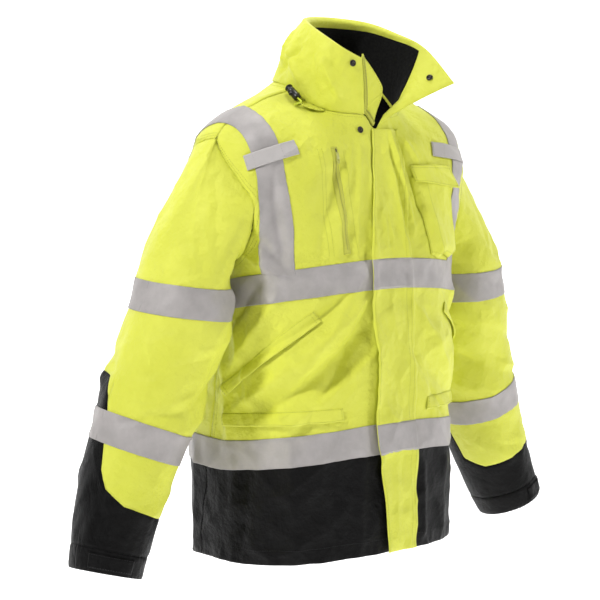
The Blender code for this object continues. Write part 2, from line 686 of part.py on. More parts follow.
def body_trim(form):
    """Tapes, storm flap, tabs, pockets and their flaps, all lying on the body form."""
    for name, ring in (("chest_tape", CHEST_TAPE), ("lower_tape", LOWER_TAPE)):
        patch(name, form, [], "reflective_tape", warp=along_ring(ring), within=RING_BAND)
    for word, side, middle in SHOULDER_TAPES:
        patch(f"shoulder_tape_{word}", form, [], "reflective_tape",
              warp=along_brace(side, middle), within=BRACE_BAND)
    for name, side, t1, z1, t2, z2, width, material, lift, thick in BODY_STRIPS:
        planes = body_strip(side * t1, z1, side * t2, z2, width)
        patch(name, form, planes, material, lift, thick)
    patch("radio_pocket", form, radio_planes(*RADIO_POCKET), "yellow_shell", OVER_TAPE,
          RADIO_DEEP)
    patch("radio_pocket_flap", form, radio_planes(*RADIO_FLAP), "yellow_shell",
          radio_flap_lift, CLOTH, [((0, 0, RADIO_BEND), (0, 0, 1))])
    storm_flap(form)


def body_strip(t1, z1, t2, z2, width):
    """Planes of a strip on the body between two places given by turn and height."""
    normal = on_body((t1 + t2) / 2, (z1 + z2) / 2)[1]
    return strip_planes(on_body(t1, z1)[0], on_body(t2, z2)[0], width, normal)


def radio_planes(left, right, slant, top, bottom, slope):
    """Planes that leave a piece of the radio pocket on the left front."""
    return [((left, 0, top), (-1, 0, slant)), ((right, 0, top), (1, 0, -slant)),
            ((0, 0, top), (0, 0, 1)), ((0, 0, bottom), (slope, 0, -1)), ((0, 0, 0), (0, 1, 0))]


def radio_flap_lift(point):
    """The flap lies on the panel at its top and on the pocket below its bend."""
    top = RADIO_FLAP[3]
    share = min(max((top - point.z) / (top - RADIO_BEND), 0), 1)
    return OVER_TAPE + share * (RADIO_DEEP + 2 * SEAM)


def flap_lift(point):
    """The storm flap lies close at its sewn edge and springs off at its free edge."""
    free = min(max((FLAP_REST - point.x) / (FLAP_REST - FLAP_RIGHT), 0), 1)
    low = min(max(-point.z / HEM_DEPTH, 0), 1)
    return OVER_TAPE + free ** 1.5 * (FLAP_OFF + FLAP_SPRING * low ** 2)


def storm_flap(form):
    """The flap over the front zip, with its own pieces of tape in line with the others."""
    sides = [((FLAP_RIGHT, 0, 0), (-1, 0, 0)), ((FLAP_LEFT, 0, 0), (1, 0, 0)),
             ((0, 0, 0), (0, 1, 0)), ((0, 0, FLAP_TOP), (0, 0, 1))]
    sides += [((FLAP_RIGHT, 0, height), (-1, 0, slope)) for height, slope in FLAP_SLANTS]
    patch("storm_flap", form, sides, "yellow_shell", flap_lift, FLAP_THICK)
    for name, ring in (("flap_tape_chest", CHEST_TAPE), ("flap_tape_lower", LOWER_TAPE)):
        patch(name, form, sides, "reflective_tape",
              lambda point: flap_lift(point) + FLAP_THICK + 2 * SEAM,
              warp=along_ring(ring), within=RING_BAND)


# ------------------------------------------------------------------ sleeves
def forearm_start(roll):
    """Reach at which the dark forearm cloth begins, for each roll."""
    edge = np.array(FOREARM_EDGE)
    angle = (np.degrees(roll) + 180) % 360 - 180
    return np.interp(angle, edge[:, 0], edge[:, 1])


def sleeve_pieces(word, side):
    """Upper sleeve, forearm and cuff band of one arm; returns the whole arm's form."""
    surface = sleeve(side)
    roll = np.linspace(0, 2 * math.pi, ROLLS + 1)[:-1][:, None]
    start = forearm_start(roll)
    upper = np.linspace(0, 1, 12)[None, :] ** 0.9 * start
    lower = start + np.linspace(0, 1, 6)[None, :] * (CUFF_BAND - start)
    band = CUFF_BAND + np.linspace(0, 1, 3)[None, :] * (1 - CUFF_BAND) + 0 * start
    grids = []
    for name, reach, material in (("sleeve", upper, "yellow_shell"),
                                  ("forearm", lower, "black_shell"),
                                  ("cuff_band", band, "black_shell")):
        rolls = np.broadcast_to(roll, reach.shape)
        points = surface(rolls, reach)
        normal = normals(surface, rolls, np.clip(reach, 2 * STEP, 1 - 2 * STEP), side)
        if name == "sleeve":
            normal[:, 0] = armhole_normals(roll[:, 0], side)
        cloth(f"{name}_{word}", points, normal, material, closed=True,
              gap=SEAM if name == "forearm" else SEAM / 2)
        grids.append(points)
    return face_out(welded(grids, closed=True), surface(roll, 0 * roll + 0.5).mean((0, 1)))


def sleeve_trim(word, side, form):
    """The two tapes and the cuff tab of one arm."""
    surface = sleeve(side)
    roll = np.linspace(0, 2 * math.pi, ROLLS + 1)[:-1]
    for number, reach in enumerate(SLEEVE_TAPES, 1):
        below = surface(roll, roll * 0 + reach + 0.05).mean(0)
        above = surface(roll, roll * 0 + reach - 0.05).mean(0)
        axis = Vector(below - above).normalized()
        half = axis * TAPE_WIDTH / 2
        middle = Vector((below + above) / 2)
        patch(f"sleeve_tape_{word}_{number}", form,
              [(middle + half, axis), (middle - half, -axis)], "reflective_tape")
    rolls = np.radians(np.array([25.0, 60.0, 95.0]))
    points = surface(rolls, rolls * 0 + CUFF_TAB)
    normal = normals(surface, rolls, rolls * 0 + CUFF_TAB, side)[1]
    planes = strip_planes(points[0], points[2], CUFF_TAB_WIDTH, normal, CUFF_TAB_WIDTH)
    patch(f"cuff_tab_{word}", form, planes, "black_shell", SEAM, CLOTH)


# ------------------------------------------------------------------ collar
def collar_grid(start, end, columns, rows, top):
    """Collar points, normals and thickness on a grid, the rim drawn to half its thickness."""
    along = np.linspace(start, end, columns)[:, None]
    up = np.linspace(0, top, rows)[None, :]
    along, up = np.broadcast_arrays(along, up)
    points = collar(along, up)
    normal = normals(collar, np.clip(along, STEP, 1 - STEP), np.clip(up, STEP, 1 - STEP), -1)
    filled = COLLAR_FOOT + (1 - COLLAR_FOOT) * np.clip(up / COLLAR_FULL, 0, 1)
    return points, normal, collar_thickness(along) * filled


def collar_pieces():
    """The collar with its rolled hood, and the fleece inside it."""
    points, normal, thick = collar_grid(0, 1, COLLAR_COLUMNS, COLLAR_ROWS, 1)
    outer = points.copy()
    inner = points - normal * thick[..., None]
    crown = thick[:, -1:] * COLLAR_CROWN
    outer[:, -1] -= normal[:, -1] * crown
    inner[:, -1] += normal[:, -1] * crown
    wall("collar", outer, inner, "yellow_shell")
    first, last, top = FLEECE
    face = inner[first:last + 1, :top + 1]
    inward = normal[first:last + 1, :top + 1]
    wall("collar_fleece", face - inward * SEAM, face - inward * (SEAM + FLEECE_THICK),
         "black_fleece")


def zip_guard():
    """The half of the zip that stands on the right collar edge, and the guard behind it."""
    share = np.linspace(0, 1, 14)
    up = np.clip(1 - share / GUARD_TURN, 0, 1)
    low = np.clip((share - GUARD_TURN) / (1 - GUARD_TURN), 0, 1)
    first = math.radians(COLLAR[0][0])
    turn = first + (math.radians(-FRONT_EDGE) - first) * low
    seam = body(turn, 1 + 0 * turn) + np.array([0, 0, CLOTH])
    edge = np.where((low > 0)[:, None], seam, collar(0 * up, up))
    free = smooth(np.linspace(0, 1, len(GUARD_EDGE)), np.array(GUARD_EDGE), share)
    across = free - edge
    width = np.linalg.norm(across, axis=1)[:, None]
    across /= width
    down = np.gradient(edge, axis=0) + np.gradient(free, axis=0)
    front = np.cross(across, down)
    front /= -np.linalg.norm(front, axis=1)[:, None] * np.sign(front[:, 1:2])
    for name, steps, reach, behind, material in (
            ("collar_zip", 3, np.minimum(width, ZIP_TAPE), -CLOTH, "zip_coil"),
            ("zip_guard", 4, width, -CLOTH - TRIM - 2 * SEAM, "yellow_shell")):
        spread = np.linspace(0, 1, steps)[None, :, None]
        start = edge + across * GUARD_GAP
        grid = start[:, None] + (across * (reach - GUARD_GAP))[:, None] * spread
        outer = grid + front[:, None] * (behind + TRIM)
        wall(name, outer, grid + front[:, None] * behind, material)


def pouch_lip():
    """The lip of the hood pouch: a short fold of shell that stands off below the collar."""
    table = np.array(POUCH_LIP)
    turn = np.linspace(table[0, 0], table[-1, 0], 9)
    width = np.interp(turn, table[:, 0], table[:, 1])[:, None]
    down = np.linspace(0, 1, 4)[None, :]
    rise = LIP_TOP - width * down
    turn = np.radians(turn)[:, None] + 0 * rise
    points = body(turn, rise)
    cloth("hood_pouch_lip", points, normals(body, turn, rise), "yellow_shell",
          TRIM + LIP_STANDS * down ** 2 * width / width.max(), TRIM)


def lathe(name, profile, place, axis, material, sides=12):
    """A turned piece: rings of the profile's radius at each distance along the axis."""
    turned = bmesh.new()
    rings = []
    for radius, along in profile:
        rings.append([turned.verts.new((radius * math.cos(angle), radius * math.sin(angle), along))
                      for angle in np.linspace(0, 2 * math.pi, sides, endpoint=False)])
    for low, high in zip(rings, rings[1:]):
        for k in range(sides):
            turned.faces.new((low[k], low[k - 1], high[k - 1], high[k]))
    turned.faces.new(rings[0])
    turned.faces.new(rings[-1])
    to_axis = Vector((0, 0, 1)).rotation_difference(Vector(axis)).to_matrix().to_4x4()
    turned.transform(Matrix.Translation(Vector(place)) @ to_axis)
    mesh = bpy.data.meshes.new(name)
    turned.to_mesh(mesh)
    turned.free()
    return put(name, mesh, material)


def snaps():
    """The studs of the collar and the right front, and the socket inside the lapel's tip."""
    place, normal = on_body(*SNAP_FRONT)
    lathe("snap_front", SNAP, place + normal * SEAM, normal, "dark_metal")
    for name, (along, up), side in (("snap_collar", SNAP_COLLAR, 1),
                                    ("snap_lapel", SNAP_LAPEL, -1)):
        along = np.array([along])
        up = np.array([up])
        normal = normals(collar, along, up, -1)[0] * side
        lift = 2 * SEAM if side > 0 else collar_thickness(along)[0] + TRIM
        lathe(name, SNAP, collar(along, up)[0] + normal * lift, normal, "dark_metal")


def cord_lock():
    """The lock on the hood's drawcord, and the cord from it to the pouch."""
    turn, height, off = LOCK_PLACE
    place, normal = on_body(turn, height)
    axis = np.array(LOCK_AXIS)
    axis /= np.linalg.norm(axis)
    length = CORD_LOCK[-1][1]
    start = place + normal * off - axis * length / 2
    lathe("cord_lock", CORD_LOCK, start, axis, "black_plastic")
    end = start + axis * (length + SEAM)
    ends = np.array(CORD_ENDS)
    lip = body(np.radians(ends[:, 0]), ends[:, 1])
    lift = normal * (CORD / 2 + TRIM)
    knots = np.array([end, end + axis * CORD_LOOP, lip[0] + lift * 1.5, lip[1] + lift])
    route = smooth(np.arange(4), knots, np.linspace(0, 3, 13))
    curve = bpy.data.curves.new("drawcord", "CURVE")
    curve.dimensions = "3D"
    curve.bevel_depth = CORD / 2
    curve.bevel_resolution = 2
    curve.use_fill_caps = True
    spline = curve.splines.new("POLY")
    spline.points.add(len(route) - 1)
    for point, knot in zip(spline.points, route):
        point.co = (*knot, 1)
    curve.materials.append(finish("yellow_cord"))
    bpy.context.scene.collection.objects.link(bpy.data.objects.new("drawcord", curve))


def block(name, size, place, side, up, out, material):
    """A chamfered block by its size along the three directions from the middle of its back."""
    work = bmesh.new()
    bmesh.ops.create_cube(work, size=1)
    for vert in work.verts:
        x, y, z = vert.co
        vert.co = (Vector(side) * x * size[0] + Vector(up) * y * size[1]
                   + Vector(out) * (z + 0.5) * size[2])
    bmesh.ops.bevel(work, geom=work.edges[:], offset=min(size) * 0.2, segments=1,
                    affect="EDGES")
    mesh = bpy.data.meshes.new(name)
    work.to_mesh(mesh)
    work.free()
    part = put(name, mesh, material)
    part.location = place
    return part


def chest_slider():
    """The slider at the top of the chest zip, and the pull tab that hinges on it."""
    turn, height = SLIDER
    place, out = on_body(-turn, height)
    t1, z1, t2, z2 = next(row[2:6] for row in BODY_STRIPS if row[0] == "chest_zip")
    up = on_body(-t1, z1)[0] - on_body(-t2, z2)[0]
    up -= out * (up @ out)
    up /= np.linalg.norm(up)
    side = np.cross(up, out)
    back = place + out * (SEAM + TRIM + SEAM)
    block("chest_zip_slider", SLIDER_SIZE, back, side, up, out, "zip_coil")
    half = PULL_SIZE[2] / 2
    hinge = back + out * (SLIDER_SIZE[2] + SEAM + half) - up * (SLIDER_SIZE[1] / 2 - PULL_HINGE)
    pull = block("chest_zip_pull", PULL_SIZE, (0, 0, 0), side, up, out, "zip_coil")
    shift = Vector(up) * (half - PULL_SIZE[1] / 2) - Vector(out) * half
    lean = Matrix.Rotation(math.radians(PULL_LEAN), 4, Vector(side))
    pull.data.transform(lean @ Matrix.Translation(shift))
    pull.location = hinge


def main():
    """Clear the scene and make every piece."""
    for old in list(bpy.data.objects):
        bpy.data.objects.remove(old, do_unlink=True)
    form = body_panels()
    body_trim(form)
    form.free()
    for word, side in (("right", -1), ("left", 1)):
        arm = sleeve_pieces(word, side)
        sleeve_trim(word, side, arm)
        arm.free()
    collar_pieces()
    zip_guard()
    pouch_lip()
    snaps()
    cord_lock()
    chest_slider()


main()
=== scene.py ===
# %% [markdown]
# # A hi-vis work jacket, dressed piece by piece
# The solids already hold the jacket's shape. This lesson puts cloth, tape, thread and
# fastenings over them. Every piece of cloth lies on one of three surfaces: the body, a sleeve
# or the collar. Each surface is a function of two numbers, so a piece is a grid of those two
# numbers and its creases are small heights added along the surface's own normal.

# %% Load the solids as a fixed frame
import math

import bmesh
import bpy
import numpy as np
from mathutils import Matrix, Vector


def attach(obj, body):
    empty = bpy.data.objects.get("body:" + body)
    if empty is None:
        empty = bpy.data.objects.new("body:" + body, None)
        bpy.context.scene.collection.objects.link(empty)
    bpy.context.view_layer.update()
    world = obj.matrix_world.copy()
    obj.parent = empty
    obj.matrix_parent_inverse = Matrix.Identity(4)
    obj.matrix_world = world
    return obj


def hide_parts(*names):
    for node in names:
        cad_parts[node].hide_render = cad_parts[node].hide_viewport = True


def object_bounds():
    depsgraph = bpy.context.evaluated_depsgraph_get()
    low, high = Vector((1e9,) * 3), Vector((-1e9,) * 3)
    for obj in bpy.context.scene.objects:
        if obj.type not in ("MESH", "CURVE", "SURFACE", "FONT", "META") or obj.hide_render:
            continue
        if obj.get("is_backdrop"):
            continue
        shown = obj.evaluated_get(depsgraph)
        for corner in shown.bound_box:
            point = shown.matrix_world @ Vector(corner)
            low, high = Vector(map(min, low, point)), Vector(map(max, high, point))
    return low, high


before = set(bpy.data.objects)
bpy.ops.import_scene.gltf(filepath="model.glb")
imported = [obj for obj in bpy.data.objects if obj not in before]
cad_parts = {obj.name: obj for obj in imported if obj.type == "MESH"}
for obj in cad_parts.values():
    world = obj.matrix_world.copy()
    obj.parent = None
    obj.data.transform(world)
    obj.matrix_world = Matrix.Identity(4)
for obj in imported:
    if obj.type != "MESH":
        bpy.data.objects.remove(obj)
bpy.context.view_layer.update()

# %% [markdown]
# ## The camera
# A long lens from three metres keeps the near and far sides nearly the same size, as in a
# product picture. The camera looks at the jacket's middle from its right front, a little
# above its own height.

# %% Camera
AIM = Vector((-0.054, 0.0036, -0.3657))
BACK = Vector((-0.6403, -0.7631, 0.0872)).normalized()
camera_data = bpy.data.cameras.new("camera")
camera_data.lens = 102.96
camera_data.sensor_width = 36
camera = bpy.data.objects.new("camera", camera_data)
camera.location = AIM + BACK * 3.0
camera.rotation_mode = "QUATERNION"
camera.rotation_quaternion = (-BACK).to_track_quat("-Z", "Y")
bpy.context.scene.collection.objects.link(camera)
bpy.context.scene.camera = camera

# %% [markdown]
# ## Sizes of the jacket
# These are the same short tables as the solids use, so that cloth and solids agree.

# %% Tables
CLOTH = 0.0020
TRIM = 0.0010
SEAM = 0.0003
TAPE_WIDTH = 0.0508
TAB_WIDTH = 0.0254
STEP = 0.002    # how far apart two points are from which a slope is taken
WELD = 0.00001    # points nearer to each other than this become one
# rise, centre y, half width, depth in front and behind, height in front, at the side and
# behind, squareness
BODY = np.array((
    (0.00, 0.000, 0.232, 0.182, 0.206, -0.786, -0.798, -0.822, 2.4),
    (0.12, 0.000, 0.232, 0.184, 0.206, -0.700, -0.708, -0.722, 2.4),
    (0.24, 0.000, 0.231, 0.183, 0.204, -0.602, -0.608, -0.614, 2.4),
    (0.38, 0.000, 0.229, 0.178, 0.197, -0.482, -0.489, -0.492, 2.5),
    (0.50, 0.000, 0.227, 0.172, 0.188, -0.372, -0.384, -0.386, 2.6),
    (0.60, -0.002, 0.232, 0.163, 0.177, -0.285, -0.300, -0.300, 2.7),
    (0.72, -0.010, 0.256, 0.146, 0.164, -0.200, -0.194, -0.200, 2.9),
    (0.84, -0.026, 0.254, 0.118, 0.148, -0.130, -0.070, -0.090, 2.4),
    (0.92, -0.034, 0.182, 0.103, 0.140, -0.092, -0.022, -0.032, 2.2),
    (1.00, -0.030, 0.098, 0.100, 0.118, -0.042, 0.002, 0.018, 2.0),
))
# reach, centre x, y and z, half across, half deep
SLEEVE = np.array((
    (0.30, 0.313, -0.014, -0.300, 0.068, 0.086),
    (0.42, 0.322, -0.009, -0.372, 0.080, 0.090),
    (0.56, 0.350, 0.004, -0.465, 0.084, 0.089),
    (0.70, 0.384, 0.017, -0.562, 0.080, 0.085),
    (0.88, 0.428, 0.024, -0.695, 0.069, 0.073),
    (1.00, 0.455, 0.018, -0.790, 0.060, 0.063),
))
LEFT_SWING = np.array(((0.30, 0.0, 0.0), (0.70, 0.003, -0.004), (1.00, 0.022, -0.020)))
# turn in degrees, top x, y and z, outward bulge, thickness
COLLAR = np.array((
    (-14, -0.036, -0.137, 0.048, 0.003, 0.003),
    (-50, -0.080, -0.126, 0.068, 0.006, 0.008),
    (-90, -0.092, -0.085, 0.092, 0.006, 0.012),
    (-135, -0.070, -0.022, 0.117, 0.004, 0.014),
    (-180, 0.000, 0.008, 0.126, 0.008, 0.014),
    (-225, 0.075, -0.020, 0.119, 0.010, 0.013),
    (-270, 0.099, -0.078, 0.097, 0.008, 0.010),
    (-310, 0.116, -0.132, 0.068, -0.004, 0.005),
    (-357, 0.126, -0.192, 0.008, -0.012, 0.003),
))
NECK_DIP = 0.026
NECK_DIP_TURN = 9.0
ARM_LOW = 0.605
ARM_TOP = 0.822
ARM_TURN = 88.0
ARM_FRONT = 18.0
ARM_BACK = 30.0
ARM_SHOULDER = 4.0
SIDE_TURN = 106.0
HEM_SEAM = 0.235
FRONT_EDGE = 2.0
CUFF_BAND = 0.955
SLEEVE_LENGTH = 0.70
SLEEVE_RADIUS = 0.080
BODY_RADIUS = 0.2
# folds that the solids have too: from turn, height, to turn, height, half width, depth
BODY_FOLDS = (
    (-24, -0.385, -66, -0.500, 0.020, 0.007), (-30, -0.440, -74, -0.535, 0.018, -0.005),
    (-20, -0.480, -60, -0.560, 0.020, 0.005), (-66, -0.150, -70, -0.280, 0.016, -0.005),
    (-48, -0.090, -52, -0.260, 0.020, 0.005), (62, -0.150, 66, -0.290, 0.018, -0.005),
    (30, -0.400, 68, -0.510, 0.020, 0.006), (24, -0.460, 60, -0.560, 0.018, -0.005),
    (128, -0.160, 122, -0.300, 0.020, -0.006), (-128, -0.160, -124, -0.300, 0.020, -0.006),
    (150, -0.220, 170, -0.500, 0.026, 0.006), (-150, -0.240, -168, -0.520, 0.026, 0.006),
    (120, -0.400, 150, -0.540, 0.022, -0.005), (-118, -0.390, -146, -0.550, 0.022, -0.005),
)
# from roll, reach, to roll, reach, half width, depth
SLEEVE_FOLDS = (
    (150, 0.30, 60, 0.40, 0.018, -0.006), (165, 0.42, 70, 0.50, 0.020, 0.006),
    (170, 0.54, 80, 0.60, 0.018, -0.006), (160, 0.62, 70, 0.70, 0.018, 0.005),
    (-30, 0.60, -110, 0.64, 0.020, 0.005), (-20, 0.70, -120, 0.74, 0.018, -0.005),
    (30, 0.14, 70, 0.32, 0.018, -0.005), (60, 0.80, 0, 0.86, 0.016, -0.004),
)

# %% [markdown]
# ## Smooth curves and soft ridges
# A cubic through the rows of a table gives every value between them. A crease is a bell
# across its line that fades at both ends. A rumple is a smooth random height on a lattice:
# stretched one way, it becomes the shallow drag lines of hanging cloth.

# %% Curves, creases and rumples
def paired(first, second):
    """Both as arrays of numbers with one common shape."""
    return np.broadcast_arrays(np.asarray(first, float), np.asarray(second, float))


def row_slopes(rows, step):
    """A slope for each row: its two secants, each weighted by the other one's step."""
    secant = np.diff(rows, axis=0) / step
    return np.concatenate([secant[:1], (secant[:-1] * step[1:] + secant[1:] * step[:-1])
                           / (step[1:] + step[:-1]), secant[-1:]])


def span_of(knots, at):
    """Number of the span between two knots in which each value lies."""
    return np.clip(np.searchsorted(knots, at, side="right") - 1, 0, len(knots) - 2)


def cubic(rows, slopes, here, after, width, t):
    """The cubic from the rows here to the rows after them, at the share t of its width."""
    return ((1 + 2 * t) * (1 - t) ** 2 * rows[here] + t * (1 - t) ** 2 * width * slopes[here]
            + t * t * (3 - 2 * t) * rows[after] + t * t * (t - 1) * width * slopes[after])


def smooth(knots, rows, at):
    """A cubic through the rows at the knots; each row's slope comes from its neighbours."""
    knots = np.asarray(knots, float)
    rows = np.asarray(rows, float)
    at = np.clip(np.asarray(at, float), knots[0], knots[-1])
    step = np.diff(knots).reshape((-1,) + (1,) * (rows.ndim - 1))
    span = span_of(knots, at)
    spread = (Ellipsis,) + (None,) * (rows.ndim - 1)
    width = (knots[span + 1] - knots[span])[spread]
    t = (at - knots[span])[spread] / width
    return cubic(rows, row_slopes(rows, step), span, span + 1, width, t)


def folds_at(folds, across, along, power=2.0):
    """Height of all creases: depth x fade along the line x exp(-|distance / width| ^ power)."""
    height = np.zeros(np.broadcast(across, along).shape)
    for x1, y1, x2, y2, width, depth in folds:
        length = math.hypot(x2 - x1, y2 - y1)
        dx, dy = (x2 - x1) / length, (y2 - y1) / length
        run = ((across - x1) * dx + (along - y1) * dy) / length
        off = (across - x1) * dy - (along - y1) * dx
        fade = np.clip(np.minimum(run, 1 - run) * 3 + 0.6, 0, 1)
        height += depth * fade ** 2 * np.exp(-(np.abs(off / width) ** power))
    return height


LATTICE = np.random.RandomState(7).uniform(-1, 1, (97, 89))


def rumple(a, b, shift=0.0):
    """Smooth random height from -1 to 1: lattice values blended by 3t^2 - 2t^3 both ways."""
    a = np.asarray(a, float) + shift * 13.7
    b = np.asarray(b, float) + shift * 7.3
    i, j = np.floor(a).astype(int), np.floor(b).astype(int)
    s, t = a - i, b - j
    s, t = s * s * (3 - 2 * s), t * t * (3 - 2 * t)
    i0, i1, j0, j1 = i % 97, (i + 1) % 97, j % 89, (j + 1) % 89
    low = LATTICE[i0, j0] * (1 - s) + LATTICE[i1, j0] * s
    high = LATTICE[i0, j1] * (1 - s) + LATTICE[i1, j1] * s
    return low * (1 - t) + high * t


def crest(value):
    """Turn a rumple into narrow ridges with wide hollows: (1 - |value|) ^ 3."""
    return (1 - np.abs(value)) ** 3


# %% [markdown]
# ## The three surfaces
# The body is a stack of squarish rings. A sleeve starts on the armhole's curve and runs
# through six oval rings. The collar rises from the neck seam to a free rim.

# %% Body surface
def scaled(folds, a_scale, b_scale=1.0):
    """Creases with their angles turned into metres along the cloth."""
    return [(a * a_scale, b * b_scale, c * a_scale, d * b_scale, w, h)
            for a, b, c, d, w, h in folds]


def signed(angle):
    """The same angle between -pi and pi."""
    return (np.asarray(angle, float) + math.pi) % (2 * math.pi) - math.pi


def body(turn, rise):
    """A ring point: radius = (|sin / half| ^ n + |cos / depth| ^ n) ^ (-1 / n), plus folds."""
    turn, rise = paired(turn, rise)
    ring = smooth(BODY[:, 0], BODY[:, 1:], rise)
    centre, half, front, behind, z_front, z_side, z_back, square = np.moveaxis(ring, -1, 0)
    across, ahead = np.sin(turn), np.cos(turn)
    depth = np.where(ahead > 0, front, behind)
    radius = (np.abs(across / half) ** square + np.abs(ahead / depth) ** square) ** (-1 / square)
    neck = np.clip((rise - 0.84) / 0.16, 0, 1)
    level = np.abs(ahead) ** 1.5 * (1 - neck) + (2 - np.abs(ahead)) * np.abs(ahead) * neck
    z = z_side + (np.where(ahead > 0, z_front, z_back) - z_side) * level
    angle = signed(turn)
    radius = radius + folds_at(scaled(BODY_FOLDS, math.radians(BODY_RADIUS)),
                               angle * BODY_RADIUS, z)
    z = z - NECK_DIP * neck ** 2 * np.exp(-((angle / math.radians(NECK_DIP_TURN)) ** 2))
    return np.stack([radius * across, centre - radius * ahead, z], -1)


def unit(vectors):
    """Vectors of length one."""
    return vectors / np.maximum(np.linalg.norm(vectors, axis=-1)[..., None], 1e-12)


def normals(surface, a, b, flip=1):
    """Normals from the surface's slopes along both of its parameters."""
    da = surface(a + STEP, b) - surface(a - STEP, b)
    db = surface(a, b + STEP) - surface(a, b - STEP)
    return unit(np.cross(da, db)) * flip


# %% Sleeve and collar surfaces
def armhole(roll, side):
    """Turn and rise of the armhole at each roll round the arm."""
    rise = (ARM_LOW + ARM_TOP) / 2 + (ARM_TOP - ARM_LOW) / 2 * np.cos(roll)
    straight = (np.cos(roll) > 0) & (np.sin(roll) > 0)
    bite = np.abs(np.sin(roll)) ** np.where(straight, ARM_SHOULDER, 1)
    reach = np.where(np.sin(roll) > 0, -ARM_FRONT, ARM_BACK)
    return side * np.radians(ARM_TURN + reach * bite), rise


def sleeve(side):
    """An arm's surface: a cubic along the reach through the armhole and six oval rings."""
    centres = SLEEVE[:, 1:4].copy()
    if side > 0:
        centres[:, :2] += smooth(LEFT_SWING[:, 0], LEFT_SWING[:, 1:], SLEEVE[:, 0])
    centres[:, 0] *= side
    axis = unit(np.gradient(centres, axis=0))
    outward = unit(np.array([side, 0, 0]) - axis * axis[:, :1] * side)
    forward = np.cross(outward, axis)
    forward *= -np.sign(forward[:, 1:2])
    folds = scaled(SLEEVE_FOLDS, math.radians(1) * SLEEVE_RADIUS, SLEEVE_LENGTH)
    knots = np.concatenate([[0], SLEEVE[:, 0]])
    step = np.diff(knots)[:, None, None]

    def surface(roll, reach):
        roll, reach = paired(roll, reach)
        shape = roll.shape
        roll, reach = roll.ravel(), np.clip(reach.ravel(), 0, 1)
        bump = folds_at(folds, signed(roll) * SLEEVE_RADIUS, reach * SLEEVE_LENGTH)
        rings = [body(*armhole(roll, side))]
        rings += [centre + (row[4] + bump)[:, None] * np.cos(roll)[:, None] * out
                  + (row[5] + bump)[:, None] * np.sin(roll)[:, None] * front
                  for row, centre, out, front in zip(SLEEVE, centres, outward, forward)]
        rings = np.array(rings)
        span = span_of(knots, reach)
        each = np.arange(len(roll))
        width = (knots[span + 1] - knots[span])[:, None]
        t = (reach - knots[span])[:, None] / width
        point = cubic(rings, row_slopes(rings, step), (span, each), (span + 1, each), width, t)
        return point.reshape(shape + (3,))

    return surface


def collar(along, up):
    """The collar's outer face: a straight rise to the rim, bulged by 4 x up x (1 - up)."""
    along, up = paired(along, up)
    row = smooth(np.linspace(0, 1, len(COLLAR)), COLLAR, along)
    turn = np.radians(row[..., 0])
    out = np.stack([np.sin(turn), -np.cos(turn), 0 * turn], -1)
    base = body(turn, np.ones_like(turn)) + out * 0.004 + np.array([0, 0, 0.003])
    up = up[..., None]
    return base + (row[..., 1:4] - base) * up + out * row[..., 4:5] * 4 * up * (1 - up)


def collar_thickness(along):
    """Thickness of the collar, with the hood rolled up in it."""
    return smooth(np.linspace(0, 1, len(COLLAR)), COLLAR[:, 5], along)


ARMS = {-1: sleeve(-1), 1: sleeve(1)}
print("sleeve length", round(float(np.linalg.norm(np.diff(
    ARMS[-1](np.zeros(60), np.linspace(0, 1, 60)), axis=0), axis=1).sum()), 3), "m")
